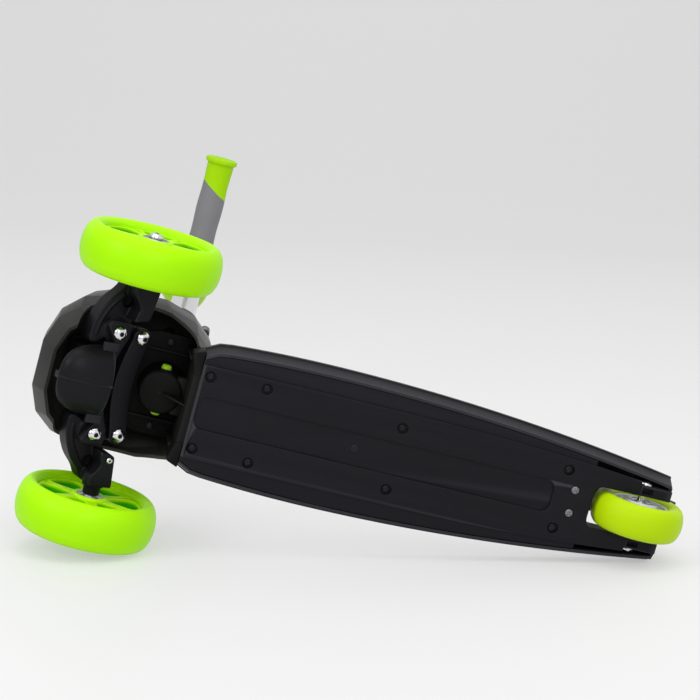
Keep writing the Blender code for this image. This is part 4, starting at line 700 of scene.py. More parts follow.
nut = rounded(rod("rear_axle_nut", HEAD_RADIUS + 0.0006, 0, 0.0036, sides=6), 0.0006)
carved(nut, rod("thread", AXLE_RADIUS + GAP, -0.01, 0.01))
place = REAR_CENTRE @ moved((0, -EAR_OUTSIDE, 0)) @ TO_RIGHT
fit(nut, place, "frame", CHROME, "chrome", "rear_axle_nut")


# Front chassis
# One black moulding ties the deck to the front: a tongue inside the deck, a bulkhead across its end, a
# ribbed ceiling under the casing, the socket for the stem and a foot on which the carrier is bolted.

STEER = moved((0.223, 0, 0.0555)) @ Matrix.Rotation(math.radians(25), 4, "Y")
STEM = moved((0.1767, 0, 0.071)) @ Matrix.Rotation(math.radians(-4.86), 4, "Y")
BULKHEAD_X, CEILING_LOW, CEILING_HIGH = 0.3933, 0.106, 0.112
SOCKET_RADIUS, TUBE_BORE, BUTTON_RISE, BUTTON_WAY = 0.021, 0.0173, 0.0140, 0.0046
CASING_SCREW = (0.4180, 0.0375)
CARRIER_BOLT_U = 0.0068


def side_plate(name, outline, low, high, edge=0.0004, steps=2):
    """A plate drawn in X and Z, made thick from one Y to another."""
    piece = plate(name, [outline], low, high, edge, steps)
    piece.data.transform(Matrix.Rotation(math.pi / 2, 4, "X") @ Matrix.Scale(-1, 4, (0, 0, 1)))
    piece.data.flip_normals()
    return piece


INNER_BLACK = moulded("inner_black_nylon", (0.0050, 0.0053, 0.0048), (0.0034, 0.0036, 0.0032), 0.48,
                      grain_depth=0.10, worn_and_highlit_edge=(0.040, 0.043, 0.039), wear_and_highlight_share=0.25, gloss=0.06)
x0 = BULKHEAD_X
tongue = block("tongue", (x0 - 0.060, -0.040, 0.0336), (x0 + 0.002, 0.040, 0.0497))
bulkhead = block("bulkhead", (x0, -0.040, 0.0336), (x0 + 0.006, 0.040, 0.1118))
ceiling_side = [(x0, 0.0455), (CASING_SCREW[0] + 0.012, 0.0455), (0.502, 0.024)]
ceiling_outline = soft_corners(both_sides(ceiling_side), 0.003)
ceiling = plate("ceiling", [ceiling_outline], CEILING_LOW, CEILING_HIGH, 0.0008)
chassis = joined(rounded(bulkhead, 0.0010), rounded(tongue, 0.0010), ceiling)
gusset = side_plate("gusset", [(x0 + 0.004, 0.0385), (0.4185, 0.0700), (0.4220, 0.0712), (0.4220, 0.090),
                               (x0 + 0.004, 0.090)], -0.0009, 0.0009, 0.0003)
saddle = rounded(block("saddle", (x0 + 0.004, -0.0165, 0.0716), (0.4075, 0.0165, 0.0800)), 0.0012)
shoulder_left = [(x0 + 0.0001, 0.030), (x0 + 0.006, 0.030), (x0 + 0.0085, 0.0385), (x0 + 0.0105, 0.0455),
                 (x0 + 0.0095, 0.0470), (x0 + 0.0001, 0.0508)]
joined(chassis, gusset, saddle)
for side in (1, -1):
    outline = soft_corners([(x, side * y) for x, y in shoulder_left], 0.0012, 3)
    joined(chassis, plate("shoulder", [outline], 0.0322, 0.0535, 0.0009, 2))
for side in (-1, 1):
    low, high = on_side(side, 0.0291, 0.0309)
    rib = block("rib", (x0 + 0.0055, low, 0.1030), (0.470, high, 0.1065))
    low, high = on_side(side, 0.0365, 0.0395)
    web = block("web", (x0 + 0.0050, low, 0.0560), (x0 + 0.0100, high, 0.1065))
    joined(chassis, rounded(rib, 0.0003), rounded(web, 0.0005))
chassis.data.transform(REAR_AXLE)

foot = rounded(block("foot", (0, -0.022, 0.0333), (0.0145, 0.022, 0.0595)), 0.0012)
carved(foot, rod("bolt_hole", AXLE_RADIUS + GAP, 0.03, 0.0465, (CARRIER_BOLT_U, 0)))
foot.data.transform(STEER)
socket = turned("socket", [(0, -0.0003), (0.0158, -0.0003), (0.0172, 0.0002), (0.0182, 0.0014),
                           (0.0187, 0.0030), (0.0193, 0.0200), (SOCKET_RADIUS, 0.0280),
                           (SOCKET_RADIUS, 0.0572), (SOCKET_RADIUS - 0.0008, 0.058), (TUBE_BORE, 0.058),
                           (TUBE_BORE, 0.006), (0, 0.006)], 64)
carved(socket, rod("button_way", BUTTON_WAY, -0.05, 0.05, (0, BUTTON_RISE), "Y"))
socket.data.transform(STEM)
joined(chassis, foot, socket)
fit(chassis, Matrix.Identity(4), "frame", INNER_BLACK, "black_plastic", "front_chassis")

# Two screws run up through the ceiling into the casing's posts.
ceiling_screw = cross_screw("ceiling_screw", 0.0177)
for side, hand in HANDS:
    place = REAR_AXLE @ moved((CASING_SCREW[0], side * CASING_SCREW[1], 0.1043))
    fit(copied(ceiling_screw), place, "frame", DARK_SCREW, "black_steel", f"casing_screw_{hand}")
discard(ceiling_screw)


# Front casing
# A glossy black ABS dome in large flat facets covers the chassis. It is an even shell, open below, with an
# arch on each side for the wheel's arm and a round hole in its crown for the stem. The outer faces of its
# lip that look down are painted paler, painted light, and its matt inner faces paler still, painted fill
# light.

CORNERS, CASING_MIDDLE, CASING_LOW, CASING_WALL = 16, 0.450, 0.0543, 0.0028
ARCH_RADIUS, ARCH_X = 0.051, 0.450
GLOSS_BLACK = moulded("gloss_black_abs", (0.0075, 0.0082, 0.0076), (0.0052, 0.0058, 0.0053), 0.26,
                      grain=500, grain_depth=0.02, haze=0.05, worn_and_highlit_edge=(0.016, 0.017, 0.016), wear_and_highlight_share=0.5, cloud=9,
                      gloss=0.07)
# The casing's inner faces: matt, and much paler than the outside, painted fill light against the shade of
# the hollow.
CASING_INSIDE_PAINTED_FILL = moulded("matt_black_abs_painted_fill", (0.0620, 0.0630, 0.0560), (0.0480, 0.0490, 0.0430), 0.55,
                        grain_depth=0.08, gloss=0.05)
# The lip's outer faces that look down: a paler tone, painted light as if they caught light from the floor.
CASING_LIP_PAINTED_LIGHT = moulded("lip_painted_light_abs", (0.0300, 0.0315, 0.0290), (0.0150, 0.0160, 0.0145), 0.30,
                     grain_depth=0.05, cloud=24, gloss=0.10)


def walled(piece, thickness, even):
    """Gives a skin its wall, inwards."""
    wall = piece.modifiers.new("wall", "SOLIDIFY")
    wall.thickness = thickness
    wall.offset = -1
    wall.use_even_offset = even
    return apply_steps(piece)


def casing_ring(height, nose, tail, half_width, rear_square):
    """One level of the casing: a blunt oval in front and nearly a square behind."""
    ring = []
    for c, s in circle(0, 0, 1 / math.cos(math.pi / CORNERS), CORNERS, 0.5):
        power = 0.70 if c > 0 else rear_square
        length = nose - CASING_MIDDLE if c > 0 else CASING_MIDDLE - tail
        ring.append((CASING_MIDDLE + length * bent(c, power), half_width * bent(s, power), height))
    return ring


rings = [casing_ring(*level) for level in ((CASING_LOW, 0.515, 0.3850, 0.0560, 0.48),
                                           (0.0766, 0.525, 0.3810, 0.0615, 0.57),
                                           (0.1057, 0.523, 0.3770, 0.0662, 0.68),
                                           (0.1314, 0.509, 0.3760, 0.0690, 0.76),
                                           (0.1504, 0.482, 0.3800, 0.0573, 0.80),
                                           (0.1615, 0.455, 0.3860, 0.0345, 0.90))]
rings.append([(x, y, 0.1660) for x, y in circle(0.4111, 0, 0.0192, CORNERS, 0.5)])
faces = []
for low in range(0, CORNERS * (len(rings) - 1), CORNERS):
    for here, there in ((i, (i + 1) % CORNERS) for i in range(CORNERS)):
        faces.append((low + here, low + there, low + CORNERS + there, low + CORNERS + here))
casing = tidy_skin(drawn("front_casing", [point for ring in rings for point in ring], faces=faces))
rounded(casing, 0.0011, 2, 3)
walled(casing, CASING_WALL, True)
carved(casing, rod("arch", ARCH_RADIUS, -0.1, 0.1, (ARCH_X, CASING_LOW - 0.004), "Y", sides=72))
for side in (1, -1):
    place = (CASING_SCREW[0], side * CASING_SCREW[1])
    joined(casing, rod("post", 0.0050, CEILING_HIGH + GAP, 0.1520, place, sides=24))
# Inner faces take the pale matt finish, painted fill light; outer faces that look down take the lip's
# painted light.
crown = Vector((0.448, 0, 0.095))
for face in casing.data.polygons:
    outward = (face.center - crown).dot(face.normal) > 0
    face.material_index = 1 if not outward else 2 if face.normal.z < -0.15 else 0
fit(casing, REAR_AXLE, "frame", (GLOSS_BLACK, CASING_INSIDE_PAINTED_FILL, CASING_LIP_PAINTED_LIGHT), "gloss_black_plastic",
    "front_casing", smooth=12)


# Carrier
# A thick black cross member of glass-filled nylon, in two layers round the knuckles' bosses. A zinc bolt
# holds it to the chassis, and a chrome kingpin passes through each of its soft square ends.

HALF_SPAN, KNUCKLE_LOW, CARRIER_HIGH, PLATE = 0.0441, 0.0073, 0.033, 0.007
WAIST_BACK, WAIST_HALF = -0.0015, 0.0403
NYLON = moulded("black_glass_filled_nylon", (0.0062, 0.0058, 0.0076), (0.0040, 0.0037, 0.0050), 0.40,
                grain=1100, grain_depth=0.14, worn_and_highlit_edge=(0.060, 0.060, 0.068), wear_and_highlight_share=0.5, gloss=0.13)


def carrier_outline(front):
    """Soft square ends at the kingpins and, behind, an edge that curves in between them."""
    end = []
    for corner, start in ((0.0060, 0), (-0.0058, 90)):
        end += arc(0.0046, start, start + 90, 6, (corner, HALF_SPAN + 0.0052))
    end.append((-0.0104, HALF_SPAN - 0.0040))
    shares = [1 - i / 10 for i in range(1, 11)]
    waist = [(WAIST_BACK - 0.0088 * share**2.2, WAIST_HALF * share) for share in shares]
    return both_sides([(front, 0.0325)] + end + waist + [(WAIST_BACK, 0.0)])


pin_holes = [circle(0, side * HALF_SPAN, AXLE_RADIUS + GAP, 32) for side in (1, -1)]
lower = plate("carrier", [carrier_outline(0.0)] + pin_holes, 0, PLATE, 0.0011, 3)
upper = plate("upper", [carrier_outline(0.0087)] + pin_holes, 0.026, CARRIER_HIGH, 0.0011, 3)
middle = rounded(block("middle", (-0.0015, -0.016, 0.005), (0.0145, 0.016, CARRIER_HIGH)), 0.0012)
nose = rounded(block("nose", (0.012, -0.012, KNUCKLE_LOW), (0.0300, 0.012, KNUCKLE_LOW + 0.010)), 0.0012)
tip = rounded(block("tip", (0.0290, -0.0030, KNUCKLE_LOW), (0.0425, 0.0030, KNUCKLE_LOW + 0.007)), 0.0010)
joined(lower, upper, middle, nose, tip)
for side in (1, -1):
    low, high = on_side(side, 0.0275, 0.0352)
    flank = block("flank", (-0.0030, low, -0.0013), (0.0112, high, 0.003))
    joined(lower, rounded(flank, 0.0010, 3))
carved(lower, rod("bolt_way", AXLE_RADIUS + GAP, -0.01, 0.05, (CARRIER_BOLT_U, 0)))
fit(lower, STEER, "frame", NYLON, "black_plastic", "carrier")

ZINC = moulded("zinc_plated_steel", (0.60, 0.62, 0.66), (0.42, 0.44, 0.50), 0.30, metallic=1.0, grain=1800,
               grain_depth=0.05, worn_and_highlit_edge=(0.8, 0.8, 0.8), wear_and_highlight_share=0.3, cloud=160)
carrier_bolt = button_bolt("carrier_bolt", AXLE_RADIUS, HEAD_RADIUS, HEAD_HEIGHT, CARRIER_HIGH + 0.012)
place = STEER @ moved((CARRIER_BOLT_U, 0, -GAP))
fit(carrier_bolt, place, "frame", (ZINC, SOCKET_PAINTED_SHADE), "zinc_steel", "carrier_bolt")
kingpin = button_bolt("kingpin", AXLE_RADIUS, HEAD_RADIUS, HEAD_HEIGHT, CARRIER_HIGH + 0.002)
for side, hand in HANDS:
    place = STEER @ moved((0, side * HALF_SPAN, -GAP)) @ Matrix.Rotation(0.35 * side, 4, "Z")
    fit(copied(kingpin), place, "frame", POLISHED, "chrome", f"kingpin_{hand}")
discard(kingpin)


# Carrier cover
# A thin black half dome in front of the carrier, under its tongue, with a low ridge along its middle.
# It is hollow and open at the top, where the casing's nose closes it off.

COVER_LENGTH, COVER_HALF, COVER_DEPTH, COVER_WALL, SQUARENESS = 0.0425, 0.0305, 0.018, 0.0028, 2.9


def cover_ridge(raised):
    length, depth = COVER_LENGTH + raised, COVER_DEPTH + raised
    return [(length * x, PLATE - depth * y) for x, y in arc(1, 0, 90, 24)]


def ball(name, segments, rings):
    """A sphere of one metre's radius, to be shaped."""
    bpy.ops.object.select_all(action="DESELECT")
    bpy.ops.mesh.primitive_uv_sphere_add(segments=segments, ring_count=rings, radius=1.0)
    bpy.context.object.name = name
    return bpy.context.object


def cut_away(piece, place, direction, fill=False):
    """Cuts off what lies beyond a place in a direction."""
    select_only(piece)
    bpy.ops.object.mode_set(mode="EDIT")
    bpy.ops.mesh.select_all(action="SELECT")
    bpy.ops.mesh.bisect(plane_co=place, plane_no=direction, use_fill=fill, clear_outer=True)
    bpy.ops.object.mode_set(mode="OBJECT")


cover = ball("carrier_cover", 96, 64)
for vertex in cover.data.vertices:
    x, y, z = vertex.co
    flat = math.hypot(x, y) / max((abs(x) ** SQUARENESS + abs(y) ** SQUARENESS) ** (1 / SQUARENESS), 1e-9)
    vertex.co = (x * flat * COVER_LENGTH, y * flat * COVER_HALF, z * COVER_DEPTH + PLATE)
cut_away(cover, (0, 0, PLATE), (0, 0, 1))
cut_away(cover, (0.0004, 0, 0), (-1, 0, 0))
tidy_skin(walled(cover, COVER_WALL, False))
ridge = side_plate("ridge", cover_ridge(0.0006) + cover_ridge(-0.0015)[::-1], -0.0008, 0.0008, 0.0003)
joined(cover, ridge)
fit(cover, STEER, "frame", NYLON, "black_plastic", "carrier_cover")


# Knuckles
# Each knuckle is one cast nylon arm from its kingpin boss to a foot with the wheel's axle stub. A lug
# behind takes the tie rod, and a round pocket lightens the arm. A steel spring sits in each boss, and a
# small chrome screw locks the right foot.

KNUCKLE_HIGH, AXLE_U, ARM_END = 0.0257, -0.0108, 0.0432
TIE_U, TIE_V, TIE_HOLE, LUG_RADIUS = -0.0225, -0.0015, 0.0028, 0.0072


def blended(piece, voxel, passes):
    """Melts overlapping bodies into one skin with soft inner corners."""
    melt = piece.modifiers.new("melt", "REMESH")
    melt.mode = "VOXEL"
    melt.voxel_size = voxel
    soften = piece.modifiers.new("soften", "SMOOTH")
    soften.factor = 0.5
    soften.iterations = passes
    return apply_steps(piece)


def mirrored(piece):
    """The piece for the other side."""
    other = copied(piece, Matrix.Scale(-1, 4, (0, 1, 0)))
    other.data.flip_normals()
    return other


arm_outline = soft_corners([(-0.0165, 0.0135), (-0.0195, 0.0200), (-0.0228, 0.0412), (-0.0213, 0.0432),
                            (-0.0018, 0.0432), (0.0022, 0.0347), (0.0120, 0.0250), (0.0172, 0.0155),
                            (0.0215, 0.0040), (0.0225, -0.0080), (0.0205, -0.0125), (0.0150, -0.0125),
                            (0.0080, -0.0080), (-0.0080, 0.0000)], 0.006, 6)
arm = plate("knuckle", [arm_outline], KNUCKLE_LOW + 0.001, KNUCKLE_HIGH - 0.001, 0.0012, 3)
boss = rounded(rod("boss", 0.0110, KNUCKLE_LOW, KNUCKLE_HIGH, sides=64), 0.0006)
foot_outline = soft_corners([(-0.0237, ARM_END), (-0.0202, 0.0165), (-0.0185, 0.0148), (-0.0062, 0.0128),
                             (-0.0080, 0.0205), (-0.0094, 0.0240), (-0.0055, 0.0305),
                             (AXLE_U + 0.0085, 0.0335), (AXLE_U + 0.0085, ARM_END)], 0.0018, 3)
foot = plate("foot", [foot_outline], -0.0095, KNUCKLE_HIGH - 0.0012, 0.0010, 3)
stub = rounded(rod("stub", 0.0072, ARM_END - 0.004, 0.0522, (AXLE_U, 0), "Y", 48), 0.0006)
shoulder = rod("shoulder", 0.0092, ARM_END - 0.004, ARM_END + 0.0012, (AXLE_U, 0), "Y", 48)
lug_outline = arc(LUG_RADIUS, 104, 284, 16, (TIE_U, TIE_V)) + arc(LUG_RADIUS, -76, 104, 16)
lug = plate("lug", [lug_outline], KNUCKLE_LOW, KNUCKLE_LOW + 0.009, 0.0008)
rim_line = [(0.0178, -0.0050), (0.0172, 0.0030), (0.0150, 0.0105), (0.0115, 0.0180), (0.0060, 0.0255),
            (0.0000, 0.0325)]
rim_band = soft_corners(rim_line + [(x - 0.0017, y - 0.0008) for x, y in reversed(rim_line)], 0.0030, 3)
rim_rib = plate("rim_rib", [rim_band], KNUCKLE_LOW - 0.0001, KNUCKLE_LOW + 0.004, 0.0003)
joined(arm, boss, foot, stub, shoulder, lug, rim_rib)
blended(arm, 0.0006, 5)
pocket = rod("pocket", 0.0056, 0.0, KNUCKLE_LOW + 0.0075, (-0.0050, 0.0262), sides=48)
carved(arm, rounded(pocket, 0.0006), rod("kingpin_way", AXLE_RADIUS + GAP, 0, 0.03),
       rod("spring_seat", 0.0080, 0.0169, 0.03), rod("tie_way", TIE_HOLE, 0, 0.03, (TIE_U, TIE_V)),
       rod("axle_way", AXLE_RADIUS + GAP, 0.0434, 0.06, (AXLE_U, 0), "Y"))


def coil_points(radius, pitch, turns, steps=28):
    """Points of a helix about Z, rising from zero."""
    angles = [math.tau * i / steps for i in range(int(turns * steps) + 1)]
    return [(radius * math.cos(a), radius * math.sin(a), pitch * a / math.tau) for a in angles]


def wire(name, points, radius, roundness=4):
    """A round wire along points, closed at its ends."""
    line = bpy.data.curves.new(name, "CURVE")
    line.dimensions = "3D"
    line.bevel_depth = radius
    line.bevel_resolution = roundness
    line.use_fill_caps = True
    return traced(name, line, [points], False)


lock_screw = button_bolt("lock_screw", 0.0014, 0.0027, 0.0016, 0.006, 0.0011)
tie_bolt = button_bolt("tie_bolt", 0.0025, HEAD_RADIUS, HEAD_HEIGHT, 0.0163)
spring = wire("return_spring", coil_points(0.0066, 0.0022, 3), 0.0008)
for side, hand in HANDS:
    body = f"knuckle_{hand}"
    at_pin = STEER @ moved((0, side * HALF_SPAN, 0))
    knuckle = copied(arm) if side > 0 else mirrored(arm)
    fit(knuckle, at_pin, body, NYLON, "black_plastic", f"knuckle_{hand}")
    if side < 0:
        place = at_pin @ moved((-0.0150, side * 0.0190, -0.0098))
        fit(copied(lock_screw), place, body, POLISHED, "chrome")
    place = at_pin @ moved((0, 0, 0.0180))
    fit(copied(spring), place, body, ZINC, "zinc_steel", f"return_spring_{hand}")
    place = STEER @ moved((TIE_U, side * (HALF_SPAN + TIE_V), 0)) @ Matrix.Rotation(0.9 * side, 4, "Z")
    fit(copied(tie_bolt), place, body, POLISHED, "chrome", f"tie_rod_bolt_{hand}")
discard(arm, spring, tie_bolt, lock_screw)


# Tie rod
# A flat bowed strip of black nylon joins the two knuckles behind the kingpins, so that both wheels
# turn together. A chrome button-head bolt passes through each of its round ends.

TIE_SPAN, TIE_HALF, TIE_BOW = 2 * (HALF_SPAN + TIE_V), 0.0080, 0.006


def tie_edge(offset, belly):
    edge = []
    for t in (i / 24 for i in range(1, 24)):
        bow = math.sin(math.pi * t)
        edge.append((offset + TIE_BOW * bow + belly * bow**2, TIE_SPAN / 2 - TIE_SPAN * t))
    return edge


tie_outline = arc(TIE_HALF, 0, 180, 18, (0, TIE_SPAN / 2)) + tie_edge(-TIE_HALF, -0.0002)
tie_outline += arc(TIE_HALF, 180, 360, 18, (0, -TIE_SPAN / 2)) + tie_edge(TIE_HALF, 0.0014)[::-1]
tie_holes = [circle(0, TIE_SPAN / 2, TIE_HOLE), circle(0, -TIE_SPAN / 2, 0.0035)]
tie_rod = plate("tie_rod", [tie_outline] + tie_holes, GAP, PLATE, 0.0012, 3)
fit(tie_rod, STEER @ moved((TIE_U, 0, 0)), "tie_rod", NYLON, "black_plastic", "tie_rod")


# Stem tubes
# Two thin-walled aluminium tubes, drawn and brushed along their length. The lower one stands in the
# socket and the upper one slides in it, so that the bar can be set to the rider's height.

LOWER_RADIUS, UPPER_RADIUS, TUBE_WALL, LOWER_TOP = 0.0170, 0.0140, 0.0018, 0.322
UPPER_LOW, BAR_HEIGHT, BAR_RADIUS = 0.237, 0.6483, 0.011


def brushed(name, colour, shade, roughness, along):
    """Aluminium with fine lines that run along one axis of the object's coordinates."""
    made = moulded(name, colour, shade, roughness, metallic=1.0, grain_depth=0.04, cloud=60, haze=0.05)
    tree = made.node_tree
    stretch = added(tree, "Mapping", Scale=[0.02 if axis == along else 1.0 for axis in "XYZ"])
    tree.links.new(added(tree, "TexCoord").outputs["Object"], stretch.inputs["Vector"])
    for texture in [node for node in tree.nodes if node.type == "TEX_NOISE"]:
        tree.links.new(stretch.outputs["Vector"], texture.inputs["Vector"])
    return made


def tube(name, radius, wall, low, high):
    edge, bore = 0.0004, radius - wall
    return turned(name, [(bore, low + edge), (bore + edge, low), (radius - edge, low), (radius, low + edge),
                         (radius, high - edge), (radius - edge, high), (bore + edge, high),
                         (bore, high - edge)], 72)


SILVER = brushed("brushed_aluminium", (0.86, 0.85, 0.89), (0.76, 0.75, 0.80), 0.30, "Z")
lower_tube = tube("lower_tube", LOWER_RADIUS, TUBE_WALL, 0.0063, LOWER_TOP)
carved(lower_tube, rod("button_way", BUTTON_WAY, -0.05, 0.05, (0, BUTTON_RISE), "Y"))
fit(lower_tube, STEM, "frame", SILVER, "silver_aluminium", "lower_tube")
upper_tube = tube("upper_tube", UPPER_RADIUS, TUBE_WALL, UPPER_LOW, BAR_HEIGHT - BAR_RADIUS - 0.0006)
fit(upper_tube, STEM, "handlebar", SILVER, "silver_aluminium", "upper_tube")


# Height collar
# A black nylon clamp round the lower tube's top, split behind between two ears. A cross bolt and a lime
# cam lever, which wraps round its right side, squeeze it shut on the upper tube.

COLLAR_RADIUS, COLLAR_LOW, COLLAR_HIGH, COLLAR_MIDDLE = 0.0215, 0.297, 0.327, 0.311
EAR_HALF, BOLT_X = 0.0085, -0.0260
LEVER_PIN = Vector((BOLT_X, -0.0153, COLLAR_MIDDLE))
LEVER_INNER, LEVER_OUTER, LEVER_HEIGHT, LEVER_SWEEP = 0.0245, 0.0295, 0.014, 125.0
LEVER_SWING, WAY, WAY_REACH = 120, 0.0031, 0.012
LIME_PLASTIC = moulded("lime_abs", (0.310, 0.570, 0.002), (0.280, 0.525, 0.002), 0.32, grain=1000,
                       grain_depth=0.04, coat=0.05, worn_and_highlit_edge=(0.60, 0.90, 0.15), wear_and_highlight_share=0.35, cloud=22,
                       gloss=0.22)
translucent(LIME_PLASTIC, 0.08)

ribs = [(COLLAR_RADIUS - 0.0005 * (i % 2), COLLAR_LOW + 0.0015 + 0.0010 * i) for i in range(8)]
collar = turned("height_collar", [(0.0173, COLLAR_LOW), (COLLAR_RADIUS - 0.0008, COLLAR_LOW)] + ribs
                + [(COLLAR_RADIUS, COLLAR_HIGH - 0.0024), (COLLAR_RADIUS - 0.0007, COLLAR_HIGH - 0.0007),
                   (COLLAR_RADIUS - 0.0024, COLLAR_HIGH), (0.0150, COLLAR_HIGH),
                   (0.0143, COLLAR_HIGH - 0.0007), (0.0143, 0.3223), (0.0173, 0.3223)], 72)
ears = rounded(block("ears", (-0.0310, -EAR_HALF, COLLAR_MIDDLE - 0.009),
                     (-0.0188, EAR_HALF, COLLAR_MIDDLE + 0.009)), 0.0022, 4)
carved(collar, ears, operation="UNION")
carved(collar, block("split", (-0.04, -0.0012, 0.28), (-0.005, 0.0012, 0.34)),
       rod("bolt_way", 0.0028, -0.05, 0.05, (BOLT_X, COLLAR_MIDDLE), "Y"))
fit(collar, STEM, "frame", NYLON, "black_plastic", "height_collar")
clamp_bolt = button_bolt("collar_bolt", 0.0025, 0.0045, 0.0032, EAR_HALF + 0.0118)
place = STEM @ moved((BOLT_X, EAR_HALF + GAP, COLLAR_MIDDLE)) @ TO_RIGHT
fit(clamp_bolt, place, "frame", (DULL_ZINC, SOCKET_PAINTED_SHADE), "zinc_steel", "collar_bolt")

start = math.degrees(math.atan2(LEVER_PIN.y, LEVER_PIN.x))
lever_outline = arc(LEVER_OUTER, start, start + LEVER_SWEEP - 2, 30)
lever_outline += arc(LEVER_INNER, start + LEVER_SWEEP, start + 12, 30)
low, high = COLLAR_MIDDLE - LEVER_HEIGHT / 2, COLLAR_MIDDLE + LEVER_HEIGHT / 2
lever = plate("collar_lever", [lever_outline], low, high, 0.0012, 3)
cam = rounded(rod("cam", 0.0062, low, high, LEVER_PIN.xy, sides=48), 0.0009)
joined(lever, cam)
blended(lever, 0.00045, 3)

# A fan-shaped slot keeps the lever clear of the cross bolt through its whole swing.
last = math.radians(90 + LEVER_SWING)
far_corner = Matrix.Rotation(last, 2) @ Vector((WAY_REACH, -WAY))
fan = [(WAY, WAY), (WAY, WAY_REACH), (-WAY_REACH, WAY_REACH), tuple(far_corner)]
fan += arc(WAY, math.degrees(last) + 50 - 360, 0, 7)
fan = [(x + LEVER_PIN.x, y + LEVER_PIN.y) for x, y in fan]
carved(lever, plate("bolt_way", [fan], COLLAR_MIDDLE - WAY, COLLAR_MIDDLE + WAY, 0.0001))
fit(lever, STEM, "collar_lever", LIME_PLASTIC, "lime_plastic", "collar_lever")


# Handlebar joint
# The lime joint of the T is one smooth moulding round the crossing tubes, fuller in front, with a neck
# round the stem and a short sleeve at each end for the bar.

JOINT_HALF, JOINT_BACK, JOINT_FRONT, JOINT_RISE = 0.033, 0.023, 0.034, 0.0298
joint = ball("bar_joint", 64, 40)
for vertex in joint.data.vertices:
    x, y, z = vertex.co
    depth = JOINT_FRONT if x > 0 else JOINT_BACK
    vertex.co = (x * depth, y * JOINT_HALF * 1.06, z * JOINT_RISE + BAR_HEIGHT)
for side in (1, -1):
    cut_away(joint, (0, side * JOINT_HALF, 0), (0, side, 0), fill=True)
neck = rounded(rod("neck", UPPER_RADIUS + 0.0045, BAR_HEIGHT - 0.048, BAR_HEIGHT, sides=64), 0.0010)
sleeve = rod("sleeve", BAR_RADIUS + 0.0035, -JOINT_HALF, JOINT_HALF, (0, BAR_HEIGHT), "Y", 64)
joined(joint, neck, rounded(sleeve, 0.0008))
blended(joint, 0.0008, 8)
low, high = BAR_HEIGHT - 0.06, BAR_HEIGHT - BAR_RADIUS - GAP
stem_way = rod("stem_way", UPPER_RADIUS + GAP, low, high, sides=64)
carved(joint, stem_way, rod("bar_way", BAR_RADIUS + GAP, -0.1, 0.1, (0, BAR_HEIGHT), "Y", 64))
fit(joint, STEM, "handlebar", LIME_PLASTIC, "lime_plastic", "bar_joint")


# Bar and grips
# A silver tube crosses the joint. Each soft grip has a grey body and, set into it along a slanting
# line, a lime end with a round flange that keeps the hand on the bar.

BAR_HALF, BAR_WALL, GRIP_RADIUS, FLANGE_RADIUS, FLANGE = 0.1392, 0.0016, 0.0145, 0.0172, 0.0055
LIME_END, SLANT = 0.0350, math.radians(33)
BAR = STEM @ moved((0, 0, BAR_HEIGHT)) @ TO_LEFT
BAR_SILVER = brushed("brushed_bar_aluminium", (0.78, 0.78, 0.81), (0.66, 0.66, 0.70), 0.30, "Y")
cross_bar = tube("cross_bar", BAR_RADIUS, BAR_WALL, -(BAR_HALF - 0.0028), BAR_HALF - 0.0028)
fit(cross_bar, BAR, "handlebar", BAR_SILVER, "silver_aluminium", "cross_bar")
GREY_RUBBER = moulded("grey_rubber", (0.180, 0.180, 0.188), (0.150, 0.150, 0.158), 0.62, grain=1500,
                      grain_depth=0.20, cloud=30, bump_distance=0.0006)
LIME_RUBBER = moulded("lime_rubber", (0.330, 0.625, 0.000), (0.300, 0.575, 0.000), 0.55, grain=1500,
                      grain_depth=0.15, cloud=30, gloss=0.10)

body_low, body_high = JOINT_HALF + GAP, BAR_HALF - FLANGE
body = []
for t in (i / 40 for i in range(41)):
    hollowed = GRIP_RADIUS - 0.0007 * math.sin(math.tau * t) ** 2
    body.append((hollowed, body_low + 0.0008 + (body_high - body_low - 0.0008) * t))
flange = [(FLANGE_RADIUS - 0.0006, body_high + 0.0004), (FLANGE_RADIUS, body_high + 0.0014),
          (FLANGE_RADIUS, BAR_HALF - 0.0016), (FLANGE_RADIUS - 0.0005, BAR_HALF - 0.0005),
          (FLANGE_RADIUS - 0.0016, BAR_HALF), (0.0060, BAR_HALF), (0.0045, BAR_HALF - 0.0008),
          (0, BAR_HALF - 0.0008), (0, BAR_HALF - 0.0025), (BAR_RADIUS + GAP, BAR_HALF - 0.0025)]
grip = turned("grip", [(BAR_RADIUS + GAP, body_low), (GRIP_RADIUS - 0.0008, body_low)] + body + flange, 64)
slant_block = block("slant_block", (-0.06, -0.06, 0.0), (0.06, 0.06, 0.10))
slant_block.data.transform(moved((0, 0, BAR_HALF - LIME_END)) @ Matrix.Rotation(-SLANT, 4, "Y"))
for side, hand in HANDS:
    place = BAR if side > 0 else BAR @ Matrix.Rotation(math.pi, 4, "X")
    grey, lime = copied(grip), copied(grip)
    grey.name, lime.name = f"grip_{hand}_body", f"grip_{hand}_end"
    carved(grey, copied(slant_block))
    carved(lime, copied(slant_block), operation="INTERSECT")
    fit(grey, place, "handlebar", GREY_RUBBER, "grey_rubber", f"grip_{hand}")
    fit(lime, place, "handlebar", LIME_RUBBER, "lime_plastic")
discard(grip, slant_block)


# Stem release
# Two lime buttons stick out of the socket's sides. A bent steel spring inside the tube pushes them out,
# and pressing both frees the stem.

